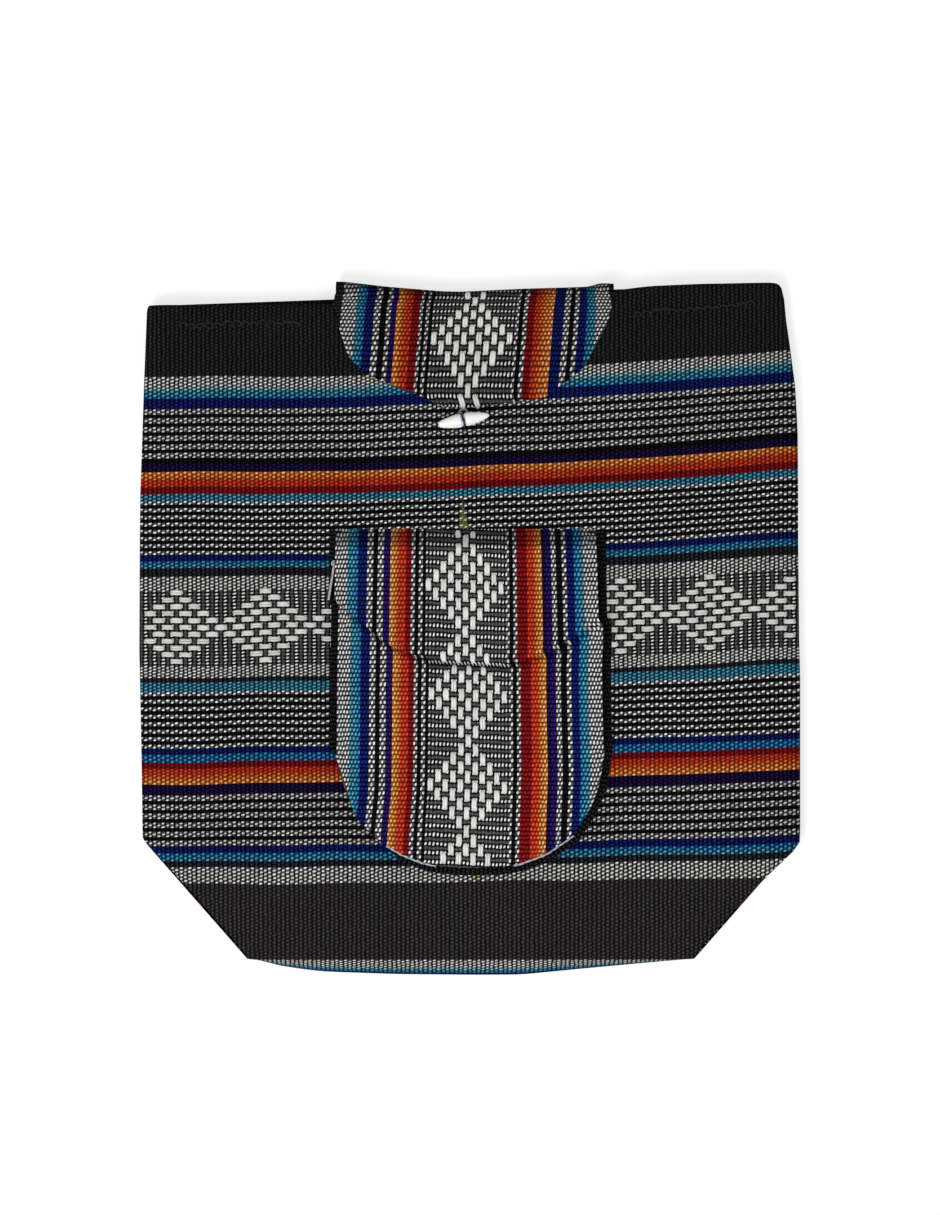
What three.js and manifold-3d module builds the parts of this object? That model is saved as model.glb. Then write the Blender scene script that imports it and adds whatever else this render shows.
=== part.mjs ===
// A flat-lying hand-woven striped cloth backpack: pouch, flap with a toggle, and a bellows pocket with a side zip.
// Millimetres. +Z points up out of the front face, +Y towards the mouth, and the back rests on z = 0.
import * as THREE from 'three';
import { mergeVertices } from 'three/addons/utils/BufferGeometryUtils.js';
import Module from 'manifold-3d';

const wasm = await Module();
wasm.setup();

// Driving dimensions of the pouch.
const bodyWidth = 402;
const bodyLength = 422;
const cloth = 1.6;
const seamGap = 0.3;
const insideHeight = 8.8;
const insideMargin = 9;
const sideShoulder = 52;
const sideEdgeHeight = 4.6;
const bottomShoulder = 46;
const mouthDropLeft = 14.6;
const mouthDropFlapLeft = 12.8;
const mouthDropFlapRight = 5.5;
const mouthDropRight = 0.6;
const mouthInsetLeft = 4.6;
const mouthInsetRight = 18.6;
const mouthCornerInset = 10.1;
const mouthCornerDrop = 11;
const hemDepth = 13;
const hemTurn = 1.2;

// Boxed base, folded up flat behind the back.
const baseDepth = 130;
const cornerRise = 73;
const baseBulge = 9;

// Flap, from the highest corner of its fold to its tip.
const flapWidth = 169;
const flapDrop = 77.2;
const flapCentreX = 3.2;
const flapFoldDip = 5.8;
const flapRoundness = 2.4;
const flapTabDepth = 14;

// Toggle and the thread loop that holds the flap closed.
const toggleLength = 31.6;
const toggleRadius = 4.1;
const toggleTipRadius = 2.2;
const toggleGrooveRadius = 3.4;
const toggleTilt = 11;
const toggleBelowTip = 7.6;
const toggleOffsetX = -7.2;
const threadRadius = 0.6;
const shankRadius = 1.1;
const loopHalfWidth = 2.9;
const loopHalfLength = 4.6;
const loopThread = 0.7;

// Bellows pocket.
const pocketWidth = 160;
const pocketTopDrop = 150.8;
const pocketBottomMargin = 66.3;
const pocketCurveDepth = 83;
const pocketCentreX = -2.7;
const pocketHeight = 11.8;
const pocketSlope = 12;
const pocketRoundness = 2.4;
const gussetCloth = 1.4;
const flangeReach = 5.5;
const bellowsInset = 3.4;
const lipReach = 0.6;

// Side zip of the pocket.
const zipTopMargin = 13.5;
const slitMargin = 0.3;
const coilHeight = 0.8;
const coilDepth = 1.6;
const sliderLength = 9;
const sliderPlate = 1.2;
const sliderTopMargin = 4;
const runningGap = 0.35;
const pullLength = 22.5;
const pullWidth = 4.4;
const pullThickness = 1.2;
const pullTilt = 9;

// Carrying straps and haul loop, flat behind the back.
const strapWidth = 38;
const strapCloth = 1.2;
const strapTopX = 48;
const strapTopGap = 21.5;
const strapEndMargin = 38;
const strapFoldClear = 12;
const strapUpperFoldDrop = 62;
const haulLoopWidth = 36;
const haulLoopLength = 44;
const webWidth = 9;

// Levels above the resting plane, from the straps up.
const layerPitch = strapCloth + seamGap;
const backBottom = 3 * layerPitch;
const backTop = backBottom + cloth;
const frontBottom = backTop + insideHeight;
const frontTop = frontBottom + cloth;
const flapBottom = frontTop + seamGap;
const flapTop = flapBottom + cloth;
const gussetBottom = frontTop + seamGap;
const gussetTop = gussetBottom + pocketHeight - cloth;
const panelBottom = gussetTop + seamGap;
const panelTop = panelBottom + cloth;

// Places in plan that follow from the sizes.
const halfWidth = bodyWidth / 2;
const topY = bodyLength / 2;
const bottomY = -bodyLength / 2;
const baseHalf = halfWidth - baseDepth / 2;
const baseFoldY = bottomY + baseBulge;
const cornerY = baseFoldY + cornerRise;
const baseTopY = cornerY + cornerRise;
const flapTipY = topY - flapDrop;
const pocketTopY = topY - pocketTopDrop;
const pocketBottomY = bottomY + pocketBottomMargin;
const pocketHalf = pocketWidth / 2;
const far = 2 * bodyWidth + 2 * bodyLength;

// Solids by extrusion, with booleans between them.

function toManifold(geometry) {
  const plain = geometry.clone();
  plain.deleteAttribute('normal');
  plain.deleteAttribute('uv');
  const merged = mergeVertices(plain, 1e-4);
  const mesh = new wasm.Mesh({
    numProp: 3,
    vertProperties: new Float32Array(merged.attributes.position.array),
    triVerts: new Uint32Array(merged.index.array),
  });
  return new wasm.Manifold(mesh);
}

function toGeometry(manifold) {
  const mesh = manifold.getMesh();
  const geometry = new THREE.BufferGeometry();
  geometry.setAttribute('position', new THREE.BufferAttribute(new Float32Array(mesh.vertProperties), 3));
  geometry.setIndex(new THREE.BufferAttribute(new Uint32Array(mesh.triVerts), 1));
  geometry.computeVertexNormals();
  return geometry;
}

function extrude(points, depth) {
  const shape = new THREE.Shape(points.map(([a, b]) => new THREE.Vector2(a, b)));
  return new THREE.ExtrudeGeometry(shape, { depth, bevelEnabled: false });
}

// A plan outline between two heights.
function plate(points, low, high) {
  return toManifold(extrude(points, high - low).translate(0, 0, low));
}

// A cross section in x and z, carried along y.
function acrossProfile(points, yLow, yHigh) {
  const geometry = extrude(points, yHigh - yLow).rotateX(Math.PI / 2);
  return toManifold(geometry.translate(0, yHigh, 0));
}

// A section in y and z, carried along x.
function lengthProfile(points, xLow, xHigh) {
  const turn = new THREE.Matrix4().makeBasis(
    new THREE.Vector3(0, 1, 0),
    new THREE.Vector3(0, 0, 1),
    new THREE.Vector3(1, 0, 0),
  );
  return toManifold(extrude(points, xHigh - xLow).applyMatrix4(turn).translate(xLow, 0, 0));
}

function block(xLow, xHigh, yLow, yHigh, zLow, zHigh) {
  const box = new THREE.BoxGeometry(xHigh - xLow, yHigh - yLow, zHigh - zLow);
  return toManifold(box.translate((xLow + xHigh) / 2, (yLow + yHigh) / 2, (zLow + zHigh) / 2));
}

// The lower half of a rounded outline, from the left end to the right end through the lowest point.
function roundedEdge(centreX, half, endY, depth, roundness, steps) {
  return Array.from({ length: steps + 1 }, (_, i) => {
    const angle = Math.PI * (1 - i / steps);
    const across = Math.cos(angle);
    const down = Math.sin(angle);
    const x = centreX + half * Math.sign(across) * Math.abs(across) ** (2 / roundness);
    return [x, endY - depth * Math.abs(down) ** (2 / roundness)];
  });
}

// Pouch outlines. inset moves the sides and the bottom inwards, and reach moves the mouth outwards.

function mouthPoints(inset, reach) {
  return [
    [halfWidth - mouthCornerInset - inset, topY - mouthCornerDrop + reach],
    [halfWidth - mouthInsetRight - inset, topY - mouthDropRight + reach],
    [flapCentreX + flapWidth / 2, topY - mouthDropFlapRight + reach],
    [flapCentreX - flapWidth / 2, topY - mouthDropFlapLeft + reach],
    [-halfWidth + mouthInsetLeft + inset, topY - mouthDropLeft + reach],
  ];
}

function bottomPoints(inset) {
  const curve = new THREE.SplineCurve([
    new THREE.Vector2(-baseHalf + inset / 2, baseFoldY + inset),
    new THREE.Vector2(-baseHalf / 3, bottomY + 1 + inset),
    new THREE.Vector2(0, bottomY + inset),
    new THREE.Vector2(baseHalf / 3, bottomY + 1 + inset),
    new THREE.Vector2(baseHalf - inset / 2, baseFoldY + inset),
  ]);
  return curve.getPoints(8).map((p) => [p.x, p.y]);
}

function pouchOutline(inset, reach) {
  return [
    [-halfWidth + inset, cornerY + inset / 2],
    ...bottomPoints(inset),
    [halfWidth - inset, cornerY + inset / 2],
    [halfWidth - inset, 0],
    ...mouthPoints(inset, reach),
    [-halfWidth + inset, 0],
  ];
}

function bodyCloth() {
  const shoulder = halfWidth - sideShoulder;
  const edgeTop = backBottom + sideEdgeHeight;
  const across = acrossProfile([
    [-halfWidth - 1, backBottom],
    [halfWidth + 1, backBottom],
    [halfWidth + 1, edgeTop],
    [shoulder, frontTop],
    [-shoulder, frontTop],
    [-halfWidth - 1, edgeTop],
  ], -far, far);
  const along = lengthProfile([
    [bottomY - 1, backBottom],
    [far, backBottom],
    [far, frontTop],
    [bottomY + bottomShoulder, frontTop],
    [bottomY - 1, edgeTop],
  ], -far, far);
  const outer = plate(pouchOutline(0, 0), backBottom, frontTop).intersect(across).intersect(along);

  const innerHalf = halfWidth - insideMargin;
  const insideAcross = acrossProfile([
    [-innerHalf, backTop],
    [innerHalf, backTop],
    [shoulder - cloth, frontBottom],
    [-shoulder + cloth, frontBottom],
  ], -far, far);
  const insideAlong = lengthProfile([
    [bottomY + insideMargin, backTop],
    [far, backTop],
    [far, frontBottom],
    [bottomY + bottomShoulder + cloth, frontBottom],
  ], -far, far);
  const inside = plate(pouchOutline(insideMargin, far), backTop - 1, frontBottom + 1)
    .intersect(insideAcross)
    .intersect(insideAlong);
  const hemShape = [...mouthPoints(0, 1)].reverse().concat(mouthPoints(0, -hemDepth));
  const hem = plate(hemShape, backTop - 1, backTop + hemTurn)
    .add(plate(hemShape, frontBottom - hemTurn, frontBottom + 1));

  const baseFold = plate([
    [-baseHalf, baseFoldY],
    [baseHalf, baseFoldY],
    [halfWidth - cloth, cornerY],
    [baseHalf, baseTopY],
    [-baseHalf, baseTopY],
    [-halfWidth + cloth, cornerY],
  ], 0, backBottom + cloth / 2);
  return toGeometry(outer.subtract(inside.subtract(hem)).add(baseFold));
}

// Flap. Its fold stands just above the mouth edge, and a tab is sewn behind the back.

function flapFoldPoints() {
  const half = flapWidth / 2;
  return [
    [flapCentreX + half, topY - 1.2],
    [flapCentreX + half * 0.5, topY - 4],
    [flapCentreX - half * 0.2, topY - flapFoldDip],
    [flapCentreX - half * 0.65, topY - 3],
    [flapCentreX - half, topY],
  ];
}

function flapCloth() {
  const fold = flapFoldPoints();
  const inner = fold.map(([x, y]) => [x, y - cloth]);
  const tab = fold.map(([x, y]) => [x, y - flapTabDepth]);
  const foldY = topY - flapFoldDip;
  const edge = roundedEdge(flapCentreX, flapWidth / 2, foldY - 2, foldY - 2 - flapTipY, flapRoundness, 20);
  const upper = plate([...edge, ...fold], flapBottom, flapTop);
  const wall = plate([...inner].reverse().concat(fold), backBottom - cloth - seamGap, flapTop);
  const behind = plate([...tab].reverse().concat(fold), backBottom - cloth - seamGap, backBottom - seamGap);
  return toGeometry(upper.add(wall).add(behind));
}

// Toggle, in its own frame: the spindle lies along x with its groove at the origin.

const toggleHeight = flapTop + seamGap + toggleRadius - frontTop;
const toggleX = flapCentreX + toggleOffsetX;
const toggleY = flapTipY - toggleBelowTip;
const toggleZ = frontTop + toggleHeight;

function toggleSpindle() {
  const half = toggleLength / 2;
  const grooveHalf = 1.5;
  const profile = [
    [0, -half],
    [toggleTipRadius * 0.75, -half],
    [toggleTipRadius, -half + 0.7],
    [toggleRadius * 0.82, -half * 0.6],
    [toggleRadius, -half * 0.3],
    [toggleRadius, -grooveHalf],
    [toggleGrooveRadius, -grooveHalf + 0.4],
    [toggleGrooveRadius, grooveHalf - 0.4],
    [toggleRadius, grooveHalf],
    [toggleRadius, half * 0.3],
    [toggleRadius * 0.82, half * 0.6],
    [toggleTipRadius, half - 0.7],
    [toggleTipRadius * 0.75, half],
    [0, half],
  ];
  const lathe = new THREE.LatheGeometry(profile.map(([r, h]) => new THREE.Vector2(r, h)), 16);
  return toGeometry(toManifold(lathe.rotateZ(-Math.PI / 2)));
}

function toggleThread() {
  const inner = toggleGrooveRadius + runningGap;
  const ring = Array.from({ length: 9 }, (_, i) => {
    const angle = (2 * Math.PI * i) / 8;
    return new THREE.Vector2(inner + threadRadius * (1 + Math.cos(angle)), threadRadius * Math.sin(angle));
  });
  const band = toManifold(new THREE.LatheGeometry(ring, 20).rotateZ(-Math.PI / 2));
  const shankTop = -inner - threadRadius;
  const shankBottom = -toggleHeight + seamGap;
  const shank = new THREE.CylinderGeometry(shankRadius, shankRadius, shankTop - shankBottom, 12);
  shank.rotateX(Math.PI / 2).translate(0, 0, (shankTop + shankBottom) / 2);
  return toGeometry(band.add(toManifold(shank)));
}

// A thread loop that leaves the flap's tip and lies round the toggle's shank.
function flapLoop() {
  const loop = new THREE.TorusGeometry(loopHalfWidth, loopThread, 8, 24);
  return toGeometry(toManifold(loop.scale(1, loopHalfLength / loopHalfWidth, 1)));
}

// Pocket.

function pocketOutline(offset, topOffset) {
  const curveStart = pocketBottomY + pocketCurveDepth;
  const curve = roundedEdge(
    pocketCentreX, pocketHalf + offset, curveStart, pocketCurveDepth + offset, pocketRoundness, 24);
  return [
    ...curve,
    [pocketCentreX + pocketHalf + offset, pocketTopY + topOffset],
    [pocketCentreX - pocketHalf - offset, pocketTopY + topOffset],
  ];
}

function pocketPanel() {
  const slopeEnd = pocketTopY - pocketSlope;
  const section = lengthProfile([
    [pocketTopY, gussetBottom],
    [pocketTopY, gussetBottom + cloth],
    [slopeEnd, panelTop],
    [bottomY, panelTop],
    [bottomY, panelBottom],
    [slopeEnd, panelBottom],
  ], -far, far);
  return toGeometry(plate(pocketOutline(0, 0), gussetBottom - 1, panelTop + 1).intersect(section));
}

const bellowsOuter = -bellowsInset;
const bellowsInner = -bellowsInset - gussetCloth;
const slitTopY = pocketTopY - zipTopMargin;
const slitBottomY = pocketBottomY + pocketCurveDepth;
const slitLow = gussetBottom + gussetCloth + slitMargin;
const slitHigh = gussetTop - gussetCloth - slitMargin;
const wallOuterX = pocketCentreX - pocketHalf - bellowsOuter;
const wallInnerX = pocketCentreX - pocketHalf - bellowsInner;

function pocketGusset() {
  const slopeEnd = pocketTopY - pocketSlope;
  const underPanel = lengthProfile([
    [pocketTopY - 1, gussetBottom],
    [pocketTopY - 1, gussetBottom + 0.2],
    [slopeEnd, gussetTop],
    [2 * bottomY, gussetTop],
    [2 * bottomY, gussetBottom],
  ], -far, far);
  const flange = plate(pocketOutline(flangeReach, -2), gussetBottom, gussetBottom + gussetCloth)
    .subtract(plate(pocketOutline(bellowsInner, 1), gussetBottom - 1, gussetTop));
  const wall = plate(pocketOutline(bellowsOuter, -pocketSlope * 0.4), gussetBottom, gussetTop)
    .subtract(plate(pocketOutline(bellowsInner, 1), gussetBottom - 1, gussetTop + 1));
  const lip = plate(pocketOutline(-lipReach, -pocketSlope), gussetTop - gussetCloth, gussetTop)
    .subtract(plate(pocketOutline(bellowsInner, 1), gussetBottom - 1, gussetTop + 1));
  const slit = block(wallOuterX - 1, wallInnerX + 1, slitBottomY, slitTopY, slitLow, slitHigh);
  return toGeometry(flange.add(wall).add(lip).intersect(underPanel).subtract(slit));
}

// Zip along the left side of the bellows.

const coilMidX = (wallOuterX + wallInnerX) / 2;
const sliderTopY = slitTopY - sliderTopMargin;
const sliderMidY = sliderTopY - sliderLength / 2;
const zipMidZ = (slitLow + slitHigh) / 2;
const coilGap = slitHigh - slitLow - 2 * (coilHeight + seamGap);

function zipCoil(isUpper) {
  const low = isUpper ? slitHigh - seamGap - coilHeight : slitLow + seamGap;
  const xLow = coilMidX - coilDepth / 2;
  const yLow = slitBottomY + seamGap;
  const yHigh = slitTopY - seamGap;
  return toGeometry(block(xLow, xLow + coilDepth, yLow, yHigh, low, low + coilHeight));
}

// The slider grips both coils: a plate outside, a plate inside and a bridge between the coils.
const plateOuterX = wallOuterX - runningGap - sliderPlate;
const crownRadius = 1.9;
const crownHole = 1.1;
const crownX = plateOuterX - crownRadius + 0.4;
const crownHeight = 1.8;
const pivotY = sliderMidY + 1;

function zipSlider() {
  const half = sliderLength / 2;
  const plateHalf = coilGap / 2 + coilHeight;
  const outside = block(plateOuterX, plateOuterX + sliderPlate,
    sliderMidY - half, sliderMidY + half, zipMidZ - plateHalf, zipMidZ + plateHalf);
  const insideX = wallInnerX + runningGap;
  const inside = block(insideX, insideX + sliderPlate,
    sliderMidY - half, sliderMidY + half, zipMidZ - plateHalf, zipMidZ + plateHalf);
  const bridgeHalf = coilGap / 2 - runningGap;
  const bridge = block(plateOuterX + sliderPlate / 2, insideX + sliderPlate / 2,
    sliderMidY - half * 0.3, sliderMidY + half * 0.8, zipMidZ - bridgeHalf, zipMidZ + bridgeHalf);
  const crownShape = new THREE.Shape().absarc(crownX, pivotY, crownRadius, 0, 2 * Math.PI);
  crownShape.holes.push(new THREE.Path().absarc(crownX, pivotY, crownHole, 0, 2 * Math.PI, true));
  const crown = new THREE.ExtrudeGeometry(crownShape, { depth: crownHeight, bevelEnabled: false, curveSegments: 10 });
  crown.translate(0, 0, zipMidZ - crownHeight / 2);
  return toGeometry(outside.add(inside).add(bridge).add(toManifold(crown)));
}

// The pull hangs from a cross bar through the crown. In its own frame it points along -y from the bar.
function zipPull() {
  const half = pullWidth / 2;
  const barHalf = 0.5;
  const windowHalf = crownHeight / 2 + runningGap;
  const windowLength = 3.6;
  const tab = block(-pullThickness / 2, pullThickness / 2, -pullLength, barHalf, -half, half);
  const window = block(-pullThickness, pullThickness, -windowLength, far, -windowHalf, windowHalf);
  const bar = block(-barHalf, barHalf, -barHalf, barHalf, -half, half);
  return toGeometry(tab.subtract(window).add(bar));
}

// Straps, each a flat band folded twice behind the back, and the haul loop between them.

function bandBetween([x0, y0], [x1, y1], low, high) {
  const along = new THREE.Vector2(x1 - x0, y1 - y0).normalize();
  const side = new THREE.Vector2(-along.y, along.x).multiplyScalar(strapWidth / 2);
  return plate([
    [x0 + side.x, y0 + side.y],
    [x0 - side.x, y0 - side.y],
    [x1 - side.x, y1 - side.y],
    [x1 + side.x, y1 + side.y],
  ], low, high);
}

function strap(sideSign) {
  const topStart = topY - strapTopGap;
  const lowFoldY = baseTopY + strapFoldClear;
  const endX = halfWidth - strapEndMargin;
  const spread = endX - strapTopX;
  const route = [
    [sideSign * strapTopX, topStart],
    [sideSign * (strapTopX + spread * 0.25), lowFoldY],
    [sideSign * (strapTopX + spread * 0.5), topStart - strapUpperFoldDrop],
    [sideSign * endX, lowFoldY],
  ];
  const lows = [2 * layerPitch, layerPitch, 0];
  const bands = lows.map((low, i) => bandBetween(route[i], route[i + 1], low, low + strapCloth));
  const foldBlock = (i) => {
    const [x, y] = route[i];
    const half = strapWidth / 2 - 1;
    return block(x - half, x + half, y - 1, y + 1, lows[i], lows[i - 1] + strapCloth);
  };
  return toGeometry(bands[0].add(bands[1]).add(bands[2]).add(foldBlock(1)).add(foldBlock(2)));
}

function haulLoop() {
  const half = haulLoopWidth / 2;
  const top = topY - strapTopGap;
  const bottom = top - haulLoopLength;
  const outer = [
    [flapCentreX - half, top],
    ...roundedEdge(flapCentreX, half, bottom + half, half, 2, 12),
    [flapCentreX + half, top],
  ];
  const inner = [
    [flapCentreX - half + webWidth, top + 1],
    ...roundedEdge(flapCentreX, half - webWidth, bottom + half, half - webWidth, 2, 12),
    [flapCentreX + half - webWidth, top + 1],
  ];
  const low = 2 * layerPitch;
  return toGeometry(plate(outer, low, low + strapCloth).subtract(plate(inner, low - 1, low + strapCloth + 1)));
}

// Materials.

const wovenCloth = new THREE.MeshStandardMaterial({ color: 0x2a2626, roughness: 0.95, metalness: 0 });
const stripedCloth = new THREE.MeshStandardMaterial({ color: 0x4a2f38, roughness: 0.95, metalness: 0 });
const ivory = new THREE.MeshStandardMaterial({ color: 0xe9e4d8, roughness: 0.4, metalness: 0 });
const darkThread = new THREE.MeshStandardMaterial({ color: 0x241a3a, roughness: 0.9, metalness: 0 });
const paleThread = new THREE.MeshStandardMaterial({ color: 0xa9a7ad, roughness: 0.9, metalness: 0 });
const coilPlastic = new THREE.MeshStandardMaterial({ color: 0x18181a, roughness: 0.5, metalness: 0 });
const paleMetal = new THREE.MeshStandardMaterial({ color: 0xa9a8bd, roughness: 0.35, metalness: 1 });
const webbing = new THREE.MeshStandardMaterial({ color: 0x1c1b1b, roughness: 0.9, metalness: 0 });

// Assembly.

function piece(name, geometry, material) {
  const mesh = new THREE.Mesh(geometry, material);
  mesh.name = name;
  return mesh;
}

const toggleGroup = new THREE.Group();
toggleGroup.position.set(toggleX, toggleY, toggleZ);
toggleGroup.rotation.z = THREE.MathUtils.degToRad(toggleTilt);
toggleGroup.add(piece('toggle', toggleSpindle(), ivory));
toggleGroup.add(piece('toggle_thread', toggleThread(), darkThread));

const loop = piece('flap_loop', flapLoop(), paleThread);
loop.position.set(toggleX, flapTipY - seamGap - loopHalfLength - loopThread, gussetBottom + loopThread);

const pull = piece('zip_pull', zipPull(), paleMetal);
pull.position.set(crownX, pivotY, zipMidZ);
pull.rotation.z = THREE.MathUtils.degToRad(-pullTilt);

const bag = new THREE.Group();
bag.add(piece('body_cloth', bodyCloth(), stripedCloth));
bag.add(piece('flap', flapCloth(), stripedCloth));
bag.add(loop);
bag.add(toggleGroup);
bag.add(piece('pocket_panel', pocketPanel(), stripedCloth));
bag.add(piece('pocket_gusset', pocketGusset(), wovenCloth));
bag.add(piece('zip_coil_upper', zipCoil(true), coilPlastic));
bag.add(piece('zip_coil_lower', zipCoil(false), coilPlastic));
bag.add(piece('zip_slider', zipSlider(), paleMetal));
bag.add(pull);
bag.add(piece('strap_left', strap(-1), webbing));
bag.add(piece('strap_right', strap(1), webbing));
bag.add(piece('haul_loop', haulLoop(), webbing));

export default bag;
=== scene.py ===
import math

import bmesh
import bpy
import numpy as np
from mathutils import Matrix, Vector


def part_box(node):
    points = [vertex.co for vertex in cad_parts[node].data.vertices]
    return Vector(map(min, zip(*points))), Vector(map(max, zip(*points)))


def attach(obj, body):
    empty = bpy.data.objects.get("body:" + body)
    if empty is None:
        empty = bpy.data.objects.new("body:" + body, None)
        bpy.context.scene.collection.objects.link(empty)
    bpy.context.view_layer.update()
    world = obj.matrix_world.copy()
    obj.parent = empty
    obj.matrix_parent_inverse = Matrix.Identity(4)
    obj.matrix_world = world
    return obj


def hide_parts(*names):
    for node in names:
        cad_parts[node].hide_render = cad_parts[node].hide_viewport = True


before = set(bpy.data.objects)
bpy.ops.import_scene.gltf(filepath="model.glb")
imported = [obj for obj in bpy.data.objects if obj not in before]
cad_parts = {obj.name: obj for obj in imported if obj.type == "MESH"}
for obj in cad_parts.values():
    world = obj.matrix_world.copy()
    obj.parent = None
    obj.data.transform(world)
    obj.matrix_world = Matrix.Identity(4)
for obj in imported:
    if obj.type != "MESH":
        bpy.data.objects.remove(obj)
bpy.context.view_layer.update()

# Looks of a hand-woven striped cloth backpack that lies on its back, seen from straight above.
# Meshes are worked out in millimetres in the CAD's frame. Places taken from the photograph are in its
# own pixels, x to the right and y down, and names of such values end in PX. A cloth is addressed by
# ribs, which run across its stripes, and by picks, the yarns that cross the ribs and give the colours.

MM = 0.001
PX = 0.608
ORIGIN_PX = (470.0, 628.0)
IMAGE_HEIGHT = 1215
BRIGHTEST = 0.93
SEED = 11
FULL_TURN = 2 * math.pi


def x_mm(px):
    return (px - ORIGIN_PX[0]) * PX


def y_mm(px):
    return (ORIGIN_PX[1] - px) * PX


def at_mm(x, y, z):
    """Points in mm from places in the photograph and their heights."""
    return np.stack(np.broadcast_arrays(x_mm(x), y_mm(y), z), -1)


def unit(vectors):
    return vectors / (np.linalg.norm(vectors, axis=-1, keepdims=True) + 1e-12)


def beside(run):
    """Level directions a quarter turn to the left of each run."""
    return unit(np.stack([-run[..., 1], run[..., 0], 0 * run[..., 0]], -1))


def lengths(points):
    """Length along the first axis of points from its start to each of them."""
    steps = np.linalg.norm(np.diff(points, axis=0), axis=-1)
    return np.concatenate([0 * steps[:1], steps.cumsum(axis=0)])


def matched(first, second):
    return np.broadcast_arrays(np.asarray(first, float), np.asarray(second, float))


def between(edges, pick):
    """Where a pick lies in the photograph, from the edges between the picks."""
    return np.interp(pick, np.arange(len(edges)), edges)


def box_mm(node):
    low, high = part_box(node)
    return np.array(low) / MM, np.array(high) / MM


def read(points, at):
    """Straight-line reading of a curve given by (place, value) pairs."""
    places, values = zip(*points)
    return np.interp(at, places, values)


def eased(points, at, reach):
    """The same with its corners rounded over a distance of reach on each side."""
    at = np.asarray(at, float)
    steps = np.linspace(-reach, reach, 9)
    return sum(read(points, at + step) for step in steps) / len(steps)


def smooth(value):
    value = np.clip(value, 0.0, 1.0)
    return value * value * (3 - 2 * value)


def quarter(value, power=2.4):
    """Rise from 0 to 1 like a quarter of a rounded square."""
    value = np.clip(value, 0.0, 1.0)
    return (1 - (1 - value) ** power) ** (1 / power)


def hump(value, width):
    """Rounded rise to 1 where the value is 0."""
    return np.exp(-((value / width) ** 2))


def swell(x, y, size, seed):
    """Smooth unevenness between about -1 and 1, with humps of the given size."""
    random = np.random.default_rng(seed)
    total = 0.0
    for _ in range(8):
        angle = random.uniform(0, math.pi)
        length = size * random.uniform(0.7, 1.7)
        phase = random.uniform(0, FULL_TURN)
        along = x * math.cos(angle) + y * math.sin(angle)
        total = total + np.sin(along * FULL_TURN / length + phase)
    return total / 4


def uneven(x, y, seed, *humps):
    """Swells at a place in the photograph, each given by its height and its size in mm."""
    return sum(high * swell(x_mm(x), y_mm(y), size, seed + n) for n, (high, size) in enumerate(humps))


# Yarns, each with the colour of its lit crowns and the colour between them, as the screen shows them.
# The colour between the crowns is partly the black warp and partly painted shade of the picks beside them.

YARNS = {
    # base_black is the same black yarn as hem_black, painted paler: painted light on the bottom band, which
    # slopes down towards the key lamp.
    "hem_black": ((49, 46, 46), (24, 22, 23)), "base_black": ((70, 66, 66), (32, 30, 30)),
    "black": ((26, 23, 25), (4, 3, 4)), "lattice_black": ((66, 63, 64), (13, 12, 13)),
    "white": ((236, 234, 231), (16, 15, 17)), "wide_row": ((222, 219, 217), (3, 2, 3)),
    "white_row": ((255, 253, 251), (4, 3, 4)), "pale_teal": ((176, 214, 216), (6, 52, 64)),
    "teal": ((92, 168, 190), (0, 42, 66)), "blue_teal": ((62, 148, 192), (0, 40, 84)),
    "navy": ((28, 40, 112), (4, 11, 60)), "purple": ((40, 24, 68), (12, 5, 36)),
    "violet": ((52, 30, 106), (20, 8, 58)), "gold": ((255, 192, 116), (148, 64, 6)),
    "amber": ((252, 162, 92), (122, 46, 4)), "orange": ((230, 118, 56), (116, 34, 4)),
    "red": ((210, 78, 50), (124, 20, 6)), "dark_red": ((132, 28, 34), (96, 6, 9)),
    "dark": ((52, 52, 58), (14, 16, 20)), "web_black": ((52, 50, 51), (8, 8, 8)),
}

ZONE_A = "wide_row 3, black 2, " * 5 + "wide_row 3"
ZONE_B = "white_row 2, black 2, " * 7 + "white_row 2"
LATTICE = "white 1, lattice_black 1, " * 21 + "white 1, lattice_black 1"

# Bands of the pouch from the mouth down: the picks of each, and where it ends at the bag's left side.
MOUTH_PX = 304.0
CHECK_PX = 376.5
FOLD_PX = 960.0
BODY_BANDS = (
    ("hem_black 40", CHECK_PX), ("white 6, pale_teal 2", 390), ("teal 3, blue_teal 1", 398),
    ("navy 6", 408.5), (ZONE_A, 458.2), ("black 3", 464), ("purple 4", 472),
    ("gold 1, amber 2, orange 1", 480), ("red 4", 487), ("dark_red 4", 494), ("teal 4", 501.2),
    (ZONE_B, 554.8), ("navy 4", 561.5), ("blue_teal 2, teal 2", 568.5), ("dark 5", 577),
    ("white 8", 590.4), (LATTICE, 666.5), ("white 8", 679), ("dark 3", 683.5), ("teal 6", 693.2),
    (ZONE_B, 748.8), ("navy 4", 755), ("blue_teal 4", 763), ("dark_red 3", 769), ("red 4", 775),
    ("orange 2, amber 2, gold 1", 785), ("purple 6", 795.8), (ZONE_A, 846.7), ("navy 4", 854),
    ("blue_teal 2, teal 2", 862), ("dark 3", 868), ("white 9", 884.5), ("base_black 42", FOLD_PX),
)
FLAP_START_PX = 330.5
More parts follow.
